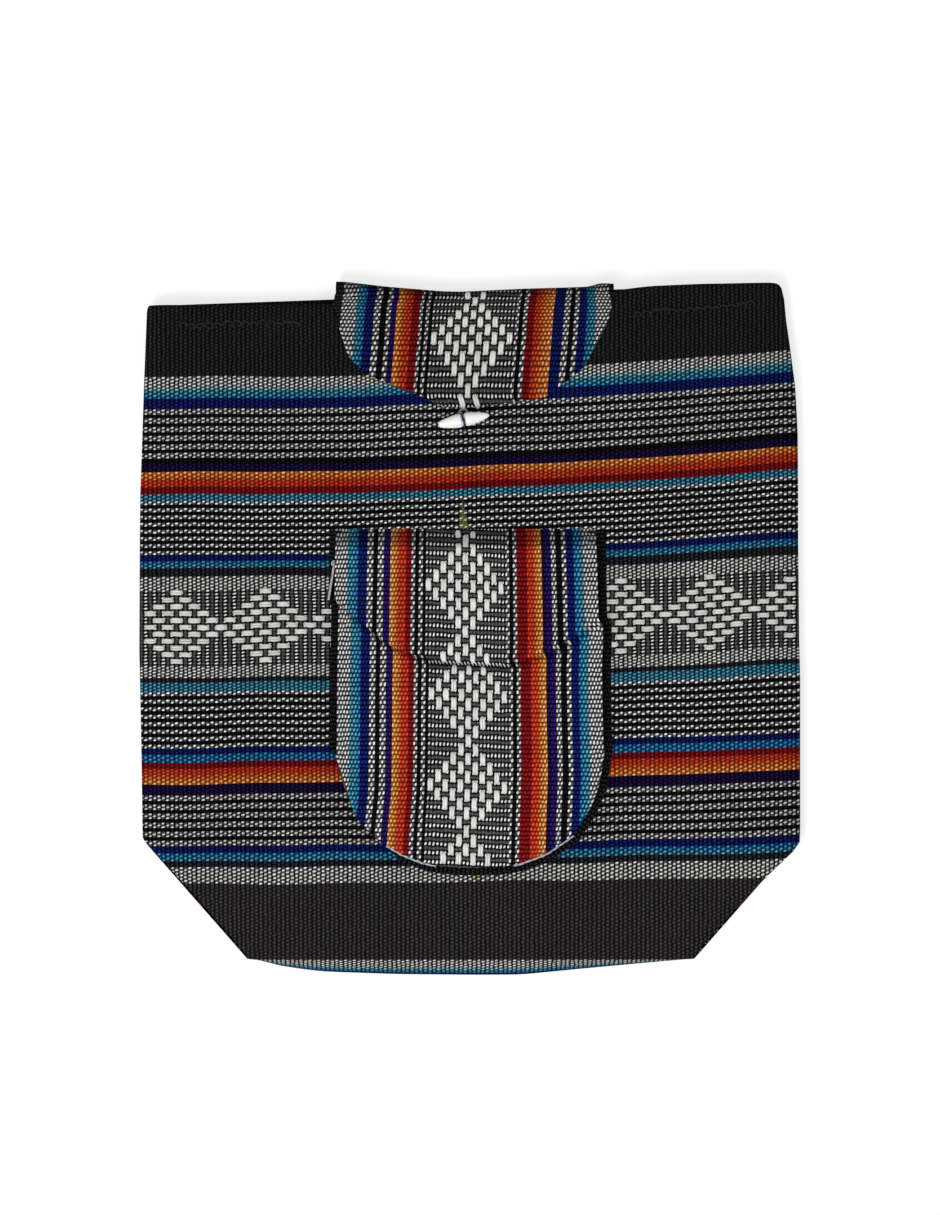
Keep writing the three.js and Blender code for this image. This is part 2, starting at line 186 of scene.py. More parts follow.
FLAP_BANDS = (
    ("hem_black 5", 339), ("white 8", 354), ("teal 3, blue_teal 2", 363), ("navy 5", 372),
    ("white 3", 378.5), ("black 3", 384.5), ("white 2", 389), ("violet 3", 394.5),
    ("gold 2, amber 1, orange 2", 404), ("red 3, dark_red 4", 417.6), ("white 2", 421), ("black 2", 424),
    ("white 2", 427.5), ("black 2", 431), (LATTICE, 514), ("white 2", 517.5), ("black 2", 521.5),
    ("white 2", 525.7), ("dark_red 4, red 3", 538), ("orange 2, amber 3, gold 2", 551.5), ("navy 6", 562),
    ("white 3", 568), ("black 2", 572.5), ("white 2", 577), ("navy 4", 585), ("blue_teal 2, teal 3", 594),
    ("white 8", 609), ("hem_black 3", 614),
)
PANEL_START_PX = 336.5
PANEL_BANDS = (
    ("white 8", 349), ("teal 4, blue_teal 2", 359.5), ("navy 5", 368.5), ("white 3", 374.5),
    ("black 2", 379), ("white 3", 385), ("violet 4", 391.5), ("gold 2, amber 2, orange 1", 400),
    ("red 4, dark_red 3", 412.5), ("white 2", 416.3), ("black 2", 420), ("white 2", 424),
    ("black 2", 427), (LATTICE, 507.5), ("white 2", 511.5), ("black 2", 515.5), ("white 2", 519.5),
    ("dark_red 6, red 2", 534), ("red 2, orange 1, amber 2, gold 2", 546), ("purple 2, violet 3", 556),
    ("white 3", 561), ("black 3", 567), ("white 2", 571.5), ("navy 4", 579),
    ("blue_teal 2, teal 3", 588.5), ("white 8", 602.3),
)


def weave_order(bands, start):
    """The yarn of each pick, the place of each edge between picks, and the first pick of the lattice."""
    yarns = []
    edges = [start]
    for pattern, end in bands:
        items = [item.split() for item in pattern.split(", ")]
        band = [name for name, count in items for _ in range(int(count))]
        edges += list(np.linspace(edges[-1], end, len(band) + 1)[1:])
        yarns += band
    return yarns, np.array(edges), yarns.index("lattice_black") - 1


BODY_YARNS, BODY_EDGES, BODY_LATTICE = weave_order(BODY_BANDS, MOUTH_PX)
FLAP_YARNS, FLAP_EDGES, FLAP_LATTICE = weave_order(FLAP_BANDS, FLAP_START_PX)
PANEL_YARNS, PANEL_EDGES, PANEL_LATTICE = weave_order(PANEL_BANDS, PANEL_START_PX)
BODY_PICKS = len(BODY_YARNS)
HEM_PICKS = 40
REPEAT_PICKS = BODY_PICKS - HEM_PICKS
PICK_PX = 1.78


def body_yarn(pick):
    """Yarn of a pick anywhere along the pouch's cloth, which repeats below its hem."""
    if pick < HEM_PICKS:
        return "hem_black"
    return BODY_YARNS[HEM_PICKS + (pick - HEM_PICKS) % REPEAT_PICKS]


# Levels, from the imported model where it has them.
FRONT_Z = box_mm("body_cloth")[1][2]
FLAP_BOTTOM, FLAP_TOP = (corner[2] for corner in box_mm("flap"))
PANEL_TOP = box_mm("pocket_panel")[1][2]
GUSSET_TOP = box_mm("pocket_gusset")[1][2]
STRAP_GAP = 0.3
BACK_DEPTH = 4.6
BACK_Z = box_mm("strap_left")[1][2] + STRAP_GAP
EDGE_Z = BACK_Z + BACK_DEPTH
FLOOR_Z = 0.9

# Outline of the pouch in the photograph: the x of its two sides for each y, and its two ends for each x.
LEFT_SIDE = (
    (304, 149.5), (307, 146.8), (312, 146), (376, 143.5), (493, 139.5), (540, 139), (650, 138.5),
    (747, 140.5), (838, 141.8), (842, 144), (852, 153.5), (900, 197.5), (948, 239.5), (FOLD_PX, 248.5),
)
RIGHT_SIDE = (
    (282, 776), (284, 780), (288, 782.5), (299, 785), (320, 787), (344, 790.5), (386, 796), (431, 798.5),
    (493, 799), (540, 799), (639, 800), (678, 801), (827, 801), (843, 800.5), (847, 797.5), (852, 794),
    (876, 769), (900, 745), (948, 702), (FOLD_PX, 693),
)
MOUTH_LINE = (
    (147, 305), (160, 304.5), (245, 305), (331, 303.4), (614, 290), (650, 285.6), (700, 283.5),
    (776, 282), (784, 283.5),
)
BOTTOM_LINE = (
    (247, 960), (265, 963), (273, 966.5), (306, 971.5), (325, 973.5), (396, 976), (480, 976.8),
    (522, 976.5), (594, 969.5), (660, 963.5), (694, 960),
)

# Rise of each stripe to the right, as its full rise at a y of the left side, and how it is shared over x.
FULL_RISE = (
    (304, 22), (376, 27), (481, 24.8), (563, 22.5), (691, 19), (776, 16), (855, 10.4), (884, 8), (960, 0),
)
UPPER_SHARE = ((250, 0), (350, 0.03), (450, 0.2), (600, 0.46), (700, 0.72), (785, 1.0), (800, 1.06))
LOWER_SHARE = (
    (160, 0), (250, 0.13), (320, 0.17), (450, 0.3), (620, 0.6), (700, 0.74), (785, 1.0), (800, 1.04),
)
SHARE_BLEND = ((520, 0.0), (690, 1.0))

RIB_PX = 4.446
FIRST_DIAMOND_PX = 176.5
FIRST_DIAMOND_RIB = 41.5
DIAMOND_RIBS = 20
SIDE_SHOULDER = 46.0
BACK_SHOULDER = 12.0
BOTTOM_SAG = 1.2
HEM_DEPTH_PICKS = 12
HEM_FOLD = 2.2
MOUTH_DROP = 2.6
MOUTH_ROLL_PX = 16.0
ROLL_PICKS = 24
ROW_WANDER_PX = 0.8
MOUTH_EDGE_DROP = 0.9
SAG_START_PX = 890
RIPPLE_HEIGHT = 0.35
PUCKER_HEIGHT = 0.22
STITCH_DEPTH_PX = 23

# The cloth's way round the bottom fold: how far out, and how high, at each pick past the fold's start.
FOLD_OUT = ((0, 0), (8, 0.66), (12, 0.86), (17, 1.0), (21, 0.97), (24, 0.5))
FOLD_UP = ((0, 1.0), (8, 0.6), (12, 0.37), (17, 0.08), (19, 0.02), (24, 0.0))


def rib_px(rib):
    return FIRST_DIAMOND_PX + (rib - FIRST_DIAMOND_RIB) * RIB_PX


def px_rib(px):
    return FIRST_DIAMOND_RIB + (px - FIRST_DIAMOND_PX) / RIB_PX


def stripe_rise(x, left_y):
    upper = eased(UPPER_SHARE, x, 25)
    lower = eased(LOWER_SHARE, x, 25)
    share = upper + (lower - upper) * read(SHARE_BLEND, left_y)
    return eased(FULL_RISE, left_y, 12) * share


def row_px(x, left_y):
    """y in the photograph of the row that is at left_y on the bag's left side."""
    mouth = eased(MOUTH_LINE, x, 8)
    check = CHECK_PX - stripe_rise(x, CHECK_PX)
    down = np.clip((left_y - MOUTH_PX) / (CHECK_PX - MOUTH_PX), 0.0, 1.0)
    hem = mouth + (check - mouth) * down
    even = np.where(left_y < CHECK_PX, hem, left_y - stripe_rise(x, left_y))
    fade = smooth((left_y - MOUTH_PX - 20) / 60) * smooth((FOLD_PX - left_y) / 50)
    return even + ROW_WANDER_PX * fade * swell(x, left_y, 95, SEED + 8)


def row_ends(left_y):
    """Both ends of a row in the photograph's x."""
    left = np.full_like(left_y, 145.0)
    right = np.full_like(left_y, 795.0)
    for _ in range(5):
        left = read(LEFT_SIDE, row_px(left, left_y))
        right = read(RIGHT_SIDE, row_px(right, left_y))
    return left, right


def front_height(x, y):
    """Height of the pouch's front at a place in the photograph."""
    depth = np.minimum(x - read(LEFT_SIDE, y), read(RIGHT_SIDE, y) - x) * PX
    top = FRONT_Z - BOTTOM_SAG * smooth((y - SAG_START_PX) / 70.0)
    rise = (top - EDGE_Z) * quarter(depth / SIDE_SHOULDER)
    mouth = MOUTH_DROP * (1 - quarter((y - eased(MOUTH_LINE, x, 8)) / MOUTH_ROLL_PX, 2))
    waves = uneven(x, y, SEED, (0.28, 70), (0.12, 24)) + front_folds(x, y)
    return EDGE_Z + rise - mouth * smooth(depth / 40) + smooth(depth / 14.0) * waves


def front_folds(x, y):
    """Shallow ripples of the mouth's right half, and puckers under its stitched hem."""
    where = smooth((x - 560) / 120) * smooth((430 - y) / 90)
    ripple = RIPPLE_HEIGHT * np.sin((x - 0.45 * y) / 17.0) * where
    pucker = PUCKER_HEIGHT * np.sin(x / 3.1) * hump(y - row_px(x, MOUTH_PX) - STITCH_DEPTH_PX, 7.0)
    return ripple + pucker


def turned_in(pick):
    """How far down the photograph, and how far into the bag, the mouth's turned hem goes at a pick."""
    inside = np.clip(-pick, 0, None)
    return np.clip(inside - 1.0, 0, None) * PICK_PX, HEM_FOLD * smooth(inside / 2.0)


def front_place(rib, pick):
    """A point of the pouch's front cloth, over the mouth fold at the top and down the bottom fold."""
    rib, pick = matched(rib, pick)
    x = rib_px(rib)
    y = row_px(x, between(BODY_EDGES, pick))
    x = np.clip(x, read(LEFT_SIDE, y), read(RIGHT_SIDE, y))
    down, inward = turned_in(pick)
    edge = MOUTH_EDGE_DROP * (1 - quarter(np.clip(pick, 0, 2) / 2.0)) * (pick >= 0)
    z = front_height(x, y) - inward - edge
    y = y + down
    over = np.clip(pick - BODY_PICKS, 0, None)
    reach = eased(BOTTOM_LINE, x, 10) - FOLD_PX
    y = y + np.where(over > 0, eased(FOLD_OUT, over, 0.8), 0) * reach
    z = np.where(over > 0, FLOOR_Z + (z - FLOOR_Z) * eased(FOLD_UP, over, 0.8), z)
    return at_mm(x, y, z)


def back_place(share, pick):
    """A point of the back cloth, at a share of the way from the left side to the right one."""
    share, pick = matched(share, pick)
    left_y = between(BODY_EDGES, pick)
    left, right = row_ends(left_y)
    x = left + (right - left) * share
    y = row_px(left, left_y) + (row_px(right, left_y) - row_px(left, left_y)) * share
    depth = (right - left) * np.minimum(share, 1 - share) * PX
    z = EDGE_Z - (EDGE_Z - BACK_Z) * quarter(depth / BACK_SHOULDER)
    z = z + 0.25 * smooth(depth / 20) * swell(x, y, 90, SEED + 2)
    down, inward = turned_in(pick)
    return at_mm(x, y + down, z + inward)


# Folded base, a flat hexagon behind the lower back.
BASE_TOP_PX = 720.0
BASE_CORNER_PX = 842.0
BASE_START = BODY_PICKS + 18
BASE_SIDE = ((BASE_TOP_PX, 247), (BASE_CORNER_PX, 143.5), (FOLD_PX, 247))
BASE_BOTTOM_PX = 972.0
BASE_MIDDLE_PX = 470.75
BASE_ROWS = int((BASE_BOTTOM_PX - BASE_TOP_PX) / PICK_PX)
BASE_EDGE_Z = 2.6
BASE_FOLD_RISE = 1.8


def base_y(row):
    return BASE_BOTTOM_PX - (BASE_BOTTOM_PX - BASE_TOP_PX) * row / BASE_ROWS


def base_left(y):
    return read(BASE_SIDE, np.minimum(y, FOLD_PX))


def base_place(share, row):
    share, row = matched(share, row)
    y = base_y(row)
    left = base_left(y)
    width = 2 * (BASE_MIDDLE_PX - left)
    x = left + width * share
    depth = width * np.minimum(share, 1 - share) * PX
    y = np.minimum(y, eased(BOTTOM_LINE, x, 10) - 0.6)
    edge_z = BASE_EDGE_Z + (EDGE_Z - BASE_EDGE_Z) * smooth((y - BASE_CORNER_PX + 6) / 12)
    z = edge_z - (edge_z - FLOOR_Z) * quarter(depth / 6.0)
    fold = 1 - quarter((y - BASE_TOP_PX) * PX / 2.0)
    waves = 0.3 * smooth(depth / 20) * (1 + swell(x, y, 60, SEED + 3)) * (1 - fold)
    return at_mm(x, y, z + BASE_FOLD_RISE * fold + waves)


# Flap. Its stripes run down the bag, so that its picks go across and its ribs down.
FLAP_LEAN = (
    (270, 6.0), (292, 4.5), (312, 2.0), (340, 0.0), (355, -1.3), (388, -4.0), (396, -4.4), (406, -1.0),
)
FLAP_CORNER_PULL_PX = 5.2
FLAP_FOLD = (
    (330, 281), (344, 281), (387, 286), (442, 290.5), (460, 291), (525, 288), (594, 286), (605, 282),
    (616, 283),
)
FLAP_EDGE = (
    (334, 303), (338, 320), (341, 332), (350, 359), (371, 377), (396, 386), (418, 395), (427, 399.5),
    (442, 406), (467, 408), (525, 400.6), (547, 397), (583, 368), (600, 337), (608, 321), (614, 290),
)
FLAP_RIB_PX = 4.9
FLAP_DIAMOND_RIB = 41.5
FLAP_ROWS = (
    (-20, 276), (-14, 290), (-10, 301), (-5, 318), (0, 337.5), (5, 363.5), (10, 391), (14, 412), (20, 443),
)
FLAP_FOLD_LEAN = 1.6
FLAP_CLEAR = 1.2
FLAP_SIDES_PX = (335, 613)
FLAP_EDGE_SAG = 0.7
FLAP_SIDE_SAG = 0.9
FLAP_HEM_PX = 1.2
FLAP_ROW_COUNT = 61
FLAP_TAB = np.array([[0, 8.0, 0], [0, 5.0, 0], [0, 2.5, 0]])
CLOTH = 1.6
FLAP_TAB_Z = FLAP_BOTTOM + CLOTH / 2
TURN_STEPS = 5


def turn_under(points, radius, reach):
    """A grid of cloth whose last row is carried on round the edge and back below it."""
    inward = beside(np.gradient(points[-1], axis=0))
    across = (inward * (points[-2] - points[-1])).sum(1)
    inward *= np.where(across < 0, -1, 1)[:, None]
    angles = math.pi * np.arange(1, TURN_STEPS + 1)[:, None, None] / TURN_STEPS
    drop = (1 - np.cos(angles)) * np.array([0, 0, 1.0])
    rows = points[-1] - radius * (inward * np.sin(angles) + drop)
    return np.concatenate([points, rows, rows[-1:] + inward * reach])


def meet(edge, x_at, picks, y):
    """y at which each pick of a cloth reaches its lower edge, from a first guess."""
    for _ in range(6):
        y = eased(edge, x_at(picks, y), 3)
    return y


def flap_x(pick, y):
    base = between(FLAP_EDGES, pick)
    pull = FLAP_CORNER_PULL_PX * smooth((base - 555) / 50) * smooth((310 - y) / 25)
    return base + eased(FLAP_LEAN, y, 4) - pull


def flap_y(rib):
    return eased(FLAP_ROWS, np.asarray(rib, float) - FLAP_DIAMOND_RIB, 1.5)


def flap_reach(x):
    """How far in y the flap's bend reaches, in mm: from its fold to just past the mouth beneath it."""
    gap = (eased(MOUTH_LINE, x, 8) - eased(FLAP_FOLD, x, 6)) * PX
    return np.clip(gap + 1.2, 4.2, 9.0)


def flap_height(x, y):
    """Height of the flap's upper side, which leans down towards its fold and bends down over it."""
    from_fold = (y - eased(FLAP_FOLD, x, 6)) * PX
    lean = FLAP_FOLD_LEAN * (1 - smooth((from_fold - 3.0) / 14.0))
    from_edge = np.clip((eased(FLAP_EDGE, x, 3) - y) * PX, 0, None)
    sides = np.clip(np.minimum(x - FLAP_SIDES_PX[0], FLAP_SIDES_PX[1] - x) * PX, 0, None)
    sag = FLAP_EDGE_SAG * (1 - quarter(from_edge / 6.0, 2))
    sag = sag + FLAP_SIDE_SAG * (1 - quarter(sides / 3.5, 2))
    level = FLAP_TOP - sag - lean + uneven(x, y, SEED + 4, (0.3, 45), (0.1, 16))
    level = np.maximum(level, front_height(x, y) + FLAP_CLEAR)
    past = np.clip(1 - from_fold / flap_reach(x), 0, 0.97)
    return level - (level - FLAP_TAB_Z) / 2 * (1 - np.sqrt(1 - past**2))


def flap_place(rib, pick):
    y = flap_y(rib)
    x = flap_x(pick, y)
    return at_mm(x, y, flap_height(x, y))


# Pocket panel, with stripes down it too.
PANEL_TOP_PX = 529.0
PANEL_SIDES_PX = (334, 602.5)
PANEL_SLOPE = 12.5
PANEL_ROWS = 260
PANEL_HEM_PX = 1.0
PANEL_LEFT_SHIFT = (
    (529, -0.3), (600, -1.5), (650, -2.4), (690, -3.1), (730, -3.2), (790, -4.0), (830, -7.8), (866, -9.2),
)
PANEL_MIDDLE_SHIFT = ((529, -0.7), (640, -0.7), (690, -2.0), (760, -2.4), (787, -3.0), (866, -5.0))
PANEL_RIGHT_SHIFT = (
    (529, -6.8), (600, -4.6), (640, -3.8), (668, -5.0), (700, -4.6), (730, -3.8), (775, -2.6), (830, -4.7),
    (866, -5.2),
)
CREASE_STEP_PX = 4.2
CREASE_DEPTH = 1.7
CREASE_RISE = 0.8
CREASE_PUFF = 0.6
PANEL_SLANT_PX = 1.8
PANEL_EDGE = (
    (333.5, 738), (336, 750), (345.5, 786), (356, 814), (369, 830), (384, 842), (402, 853), (422, 861),
    (440, 865), (463, 866.5), (500, 866), (519, 862.5), (545, 853), (573, 834), (590, 806), (600, 778),
    (604, 735),
)
PANEL_RIB_PX = 4.525
PANEL_NECK_PX = 541.0
PANEL_NECK_RIB = 21.5
# PANEL_GAIN paints the pocket's cloth brighter than the pouch's: painted light on the raised pocket.
PANEL_GAIN = 1.3
PANEL_DIAMONDS = (
    (11.5, 17.5, 21.5), (31.5, 21.5, 41.5), (51.5, 41.5, 48.5), (55.5, 48.5, 65.5), (75.5, 65.5, 85.5),
    (95.5, 85.5, 92.0),
)
PANEL_NECKS = (21.5, 41.5, 65.5, 85.5)
CREASE_LINE = (
    (334, 600), (345, 609), (352, 617), (372, 633), (391, 648), (415, 657), (440, 663), (507, 667),
    (545, 656), (560, 649), (575, 640), (590, 630), (604, 622),
)


def panel_x(pick, y):
    base = between(PANEL_EDGES, pick)
    return base + panel_shift(base, y)


def from_crease(x, y):
    """Distance in pixels below the crease across the pocket, and how strong the crease is there."""
    return y - eased(CREASE_LINE, x, 6), smooth((x - 338) / 16) * smooth((600 - x) / 16)


def panel_shift(base, y):
    """How far a stripe of the pocket strays to the right at y, in pixels."""
    left = eased(PANEL_LEFT_SHIFT, y, 6)
    middle = eased(PANEL_MIDDLE_SHIFT, y, 6)
    right = eased(PANEL_RIGHT_SHIFT, y, 6)
    below = smooth((from_crease(base, y)[0] + 5.5) / 9.0)
    inward = (middle - left) * smooth((base - 390) / 75) + (right - middle) * smooth((base - 465) / 110)
    return left + inward + CREASE_STEP_PX * below


def panel_slant(x):
    """How much lower each rib of the pocket lies to the right of its middle, in pixels."""
    return PANEL_SLANT_PX * np.clip((x - 466) / 37, -1, 1)


def panel_shade(x, y):
    """Painted shade in the crease and under the pocket's top seam."""
    crease, strength = from_crease(x, y)
    dark = 1 - 0.5 * hump(crease + 0.5, 1.9) * strength
    return dark * read(((529, 0.6), (536, 0.8), (546, 1.0)), y)


def panel_height(x, y):
    """Height of the pocket panel's upper side."""
    from_edge = np.clip((eased(PANEL_EDGE, x, 4) - y) * PX, 0, None)
    sides = np.clip(np.minimum(x - PANEL_SIDES_PX[0], PANEL_SIDES_PX[1] - x) * PX, 0, None)
    rim = 1 - quarter(np.minimum(from_edge, sides) / 5.0, 2)
    seam = smooth((y - PANEL_TOP_PX) * PX / PANEL_SLOPE)
    low = FRONT_Z + 0.5
    crease, length = from_crease(x, y)
    fold = CREASE_RISE * hump(crease - 9, 7.0) - CREASE_DEPTH * hump(crease, 2.6)
    puff = CREASE_PUFF * hump(crease + 12, 9.0)
    waves = (fold + puff) * length + uneven(x, y, SEED + 6, (0.4, 60), (0.12, 18))
    return low + (PANEL_TOP + 0.4 - low) * seam - rim + waves * smooth((y - PANEL_TOP_PX) / 20)


def panel_place(rib, pick):
    level_y = PANEL_NECK_PX + (np.asarray(rib, float) - PANEL_NECK_RIB) * PANEL_RIB_PX
    x = panel_x(pick, level_y)
    y = level_y + panel_slant(x)
    x = panel_x(pick, y)
    return at_mm(x, y, panel_height(x, y))


# Meshes.


def rgba(colour):
    """A colour as the screen shows it, from 0 to 255, turned into a linear one."""
    return (*linear(colour), 1.0)


def linear(colour):
    value = np.array(colour, float) / 255
    return np.where(value <= 0.04045, value / 12.92, ((value + 0.055) / 1.055) ** 2.4)


def new_object(name, vertices, faces, material):
    mesh = bpy.data.meshes.new(name)
    mesh.from_pydata((np.asarray(vertices) * MM).tolist(), [], faces)
    mesh.polygons.foreach_set("use_smooth", [True] * len(mesh.polygons))
    mesh.materials.append(material)
    mesh.update()
    piece = bpy.data.objects.new(name, mesh)
    bpy.context.scene.collection.objects.link(piece)
    return piece


def grid_faces(rows, columns, start=0, flip=False, close=False):
    """Faces of a grid of points, wound so that x to the right and rows downwards face up."""
    last = columns if close else columns - 1
    row, column = np.meshgrid(np.arange(rows - 1), np.arange(last), indexing="ij")
    here = start + row * columns + column
    right = start + row * columns + (column + 1) % columns
    corners = np.stack([here, here + columns, right + columns, right], -1).reshape(-1, 4)
    return (corners[:, ::-1] if flip else corners).tolist()


def opened(piece):
    """A piece's mesh, open for changes to its faces."""
    shape = bmesh.new()
    shape.from_mesh(piece.data)
    return shape


def put_back(shape, piece):
    shape.to_mesh(piece.data)
    shape.free()


def corner_points(piece):
    """The point of a piece that each corner of its faces is at."""
    order = np.zeros(len(piece.data.loops), int)
    piece.data.loops.foreach_get("vertex_index", order)
    return order


def set_weave(piece, values):
    piece.data.uv_layers.new(name="weave").data.foreach_set("uv", values.ravel())


def set_colour(piece, name, values):
    colours = np.ones((len(values), 4))
    colours[:, :3] = values
    attribute = piece.data.color_attributes.new(name=name, type="FLOAT_COLOR", domain="CORNER")
    attribute.data.foreach_set("color", colours.ravel())


def woven_piece(name, points, ribs, picks, yarns, material, flip=False, gain=1.0, shade=None):
    """A grid of cloth. yarns holds a name for each row of faces, or for each column if picks run across."""
    rows, columns = points.shape[:2]
    piece = new_object(name, points.reshape(-1, 3), grid_faces(rows, columns, flip=flip), material)
    order = corner_points(piece)
    weave = np.stack([np.broadcast_to(value, (rows, columns)) for value in (ribs, picks)], -1)
    set_weave(piece, weave.reshape(-1, 2)[order])
    across = len(yarns) == columns - 1
    names = [yarns[c] if across else yarns[r] for r in range(rows - 1) for c in range(columns - 1)]
    # shade multiplies the colours at each point as painted shade, and gain brightens them all as painted
    # light.
    light = np.ones(rows * columns) if shade is None else shade.ravel()
    for number, key in enumerate(("crown", "ground")):
        table = {yarn: np.minimum(linear(pair[number]) * gain, BRIGHTEST) for yarn, pair in YARNS.items()}
        colours = np.repeat([table[yarn] for yarn in names], 4, axis=0)
        set_colour(piece, key, colours * light[order][:, None])
    return piece


def tube_rings(path, radius, sides, closed):
    """Rings of points round a path."""
    if closed:
        run = unit(np.roll(path, -1, 0) - np.roll(path, 1, 0))
    else:
        run = unit(np.gradient(path, axis=0))
    up = np.array([0.0, 0.0, 1.0]) if abs(run[0][2]) < 0.9 else np.array([1.0, 0.0, 0.0])
    angles = np.arange(sides) * FULL_TURN / sides
    rings = []
    for centre, direction in zip(path, run):
        side = unit(np.cross(direction, up))
        up = np.cross(side, direction)
        rings.append(centre + radius * (np.outer(np.cos(angles), side) + np.outer(np.sin(angles), up)))
    return np.array(rings)


def twisted(middle, outward, ply, twist):
    """Two plies wound round a middle line, which has a level direction square to it at each point."""
    plies = []
    for phase in (0, math.pi):
        offset = outward * np.cos(twist + phase)[:, None]
        offset[:, 2] += np.sin(twist + phase)
        plies.append(middle + offset * ply)
    return plies


def tubes(name, paths, radius, material, sides=6, closed=False):
    """One piece made of round threads along the paths, with their ends closed."""
    vertices = []
    faces = []
    start = 0
    for path in paths:
        vertices.append(tube_rings(path, radius, sides, closed).reshape(-1, 3))
        count = len(vertices[-1])
        strip = np.array(grid_faces(len(path) + closed, sides, close=True)) % count
        ends = [] if closed else [range(sides), range(count - 1, count - sides - 1, -1)]
        faces += [[start + i for i in face] for face in (*strip.tolist(), *ends)]
        start += count
    return new_object(name, np.concatenate(vertices), faces, material)


# Materials.


class Nodes:
    """Short calls for building the nodes of a new material or world."""

    def __init__(self, block):
        block.use_nodes = True
        self.block = block
        self.tree = block.node_tree
        self.shader = self.tree.nodes.get("Principled BSDF")

    def put(self, socket, value):
        if isinstance(value, bpy.types.NodeSocket):
            self.tree.links.new(value, socket)
        else:
            socket.default_value = value

    def set(self, node=None, **values):
        """Fill inputs by their names, those of the shader unless a node is given."""
        for key, value in values.items():
            self.put((node or self.shader).inputs[key.replace("_", " ")], value)

    def node(self, kind, *values, **settings):
        """A new node with the settings, whose inputs get the values in their order."""
        node = self.tree.nodes.new("ShaderNode" + kind)
        for key, value in settings.items():
            setattr(node, key, value)
        for socket, value in zip(node.inputs, values):
            self.put(socket, value)
        return node

    def math(self, operation, *values):
        return self.node("Math", *values, operation=operation).outputs[0]

    def plus(self, first, second):
        return self.math("ADD", first, second)

    def minus(self, first, second):
        return self.math("SUBTRACT", first, second)

    def times(self, first, second):
        return self.math("MULTIPLY", first, second)

    def squared(self, value, half):
        """Square of the share that a value has of a half width."""
        return self.math("POWER", self.math("ABSOLUTE", self.math("DIVIDE", value, half)), 2.0)

    def mix(self, share, first, second, blend="MIX"):
        """Mix of two sockets or screen colours."""
        node = self.node("Mix", share, data_type="RGBA", blend_type=blend)
        for key, value in (("A", first), ("B", second)):
            self.put(node.inputs[key], rgba(value) if isinstance(value, tuple) else value)
        return node.outputs["Result"]

    def place(self):
        return self.node("TexCoord").outputs["Object"]

    def noise(self, scale, detail, vector=None):
        node = self.node("TexNoise", vector or self.place())
        self.set(node, Scale=scale, Detail=detail)
        return node.outputs["Fac"]

    def uv(self):
        return self.node("UVMap", uv_map="weave").outputs["UV"]

    def split(self, vector):
        return self.node("SeparateXYZ", vector).outputs

    def colour(self, name):
        return self.node("Attribute", attribute_name=name).outputs["Color"]

    def scaled(self, vector, x, y, z):
        return self.node("VectorMath", vector, (x, y, z), operation="MULTIPLY").outputs[0]

    def ramp(self, value, low, high, to_low=0.0, to_high=1.0):
        return self.node("MapRange", value, low, high, to_low, to_high).outputs["Result"]

    def bump(self, height, distance):
        node = self.node("Bump")
        self.set(node, Height=height, Distance=distance)
        self.set(Normal=node.outputs["Normal"])

    def finish(self, colour):
        self.set(Base_Color=colour)
        return self.block


WEAVE_SLANT = 0.5
CROWN_HALF_RIB = 0.44
CROWN_HALF_PICK = 0.62


def new_material(name, **values):
    n = Nodes(bpy.data.materials.new(name))
    n.set(**values)
    return n


def weave_material(name, bump=0.45, stain=False, cover=1.5):
    """Ribbed weave: each pick shows as a rounded crown on every second rib."""
    n = new_material(name, Roughness=0.95, Specular_IOR_Level=0.03)
    weave = n.split(n.uv())
    rib = n.plus(weave["X"], n.times(n.minus(n.noise(260.0, 1.0), 0.5), 0.55))
    pick = weave["Y"]
    rib_part = n.minus(n.math("FRACT", rib), 0.5)
    pick_part = n.minus(n.math("FRACT", pick), 0.5)
    rib_number = n.math("FLOOR", rib)
    pick_number = n.math("FLOOR", pick)
    across = n.squared(rib_part, CROWN_HALF_RIB)
    along = n.squared(n.plus(pick_part, n.times(rib_part, WEAVE_SLANT)), CROWN_HALF_PICK)
    dome = n.math("MAXIMUM", n.minus(1.0, n.plus(across, along)), 0.0)
    odd = n.math("FLOORED_MODULO", n.plus(rib_number, pick_number), 2.0)
    shown = n.minus(1.0, n.times(odd, 0.9))
    cell = n.node("CombineXYZ", rib_number, pick_number).outputs["Vector"]
    chance = n.node("TexWhiteNoise", cell).outputs["Value"]
    fibre = n.noise(1.0, 3.0, n.scaled(n.uv(), 3.0, 9.0, 1.0))
    strength = n.times(n.ramp(chance, 0, 1, 0.82, 1.12), n.ramp(fibre, 0.3, 0.7, 0.82, 1.12))
    # Each pick's crown fades to the ground colour towards its rim: partly the warp showing round the weft,
    # partly painted shade of the rounded yarn.
    covered = n.math("MINIMUM", n.times(dome, cover), 1.0)
    share = n.math("MINIMUM", n.times(n.times(covered, shown), strength), 1.0)
    cloth = n.mix(share, n.colour("ground"), n.colour("crown"))
    # Painted shade in the valleys between the ribs, down to groove on dark yarns; worn adds random tone,
    # and ridge also feeds the bump.
    ridge = n.math("COSINE", n.times(rib_part, FULL_TURN))
    bright = n.node("RGBToBW", n.colour("crown")).outputs["Val"]
    groove = n.ramp(bright, 0.03, 0.2, 0.2, 0.62)
    worn = n.ramp(n.noise(22.0, 3.0), 0.3, 0.7, 0.9, 1.08)
    shade = n.times(worn, n.ramp(ridge, -1.0, 0.6, groove, 1.0))
    grey = n.node("CombineColor", shade, shade, shade).outputs["Color"]
    cloth = n.mix(1.0, cloth, grey, "MULTIPLY")
    if stain:
        cloth = tinted(n, marked(n, cloth))
    raised = n.times(n.times(dome, shown), 0.8)
    height = n.plus(raised, n.times(ridge, 0.2))
    n.bump(n.plus(height, n.times(fibre, 0.15)), bump * MM)
    return n.finish(cloth)


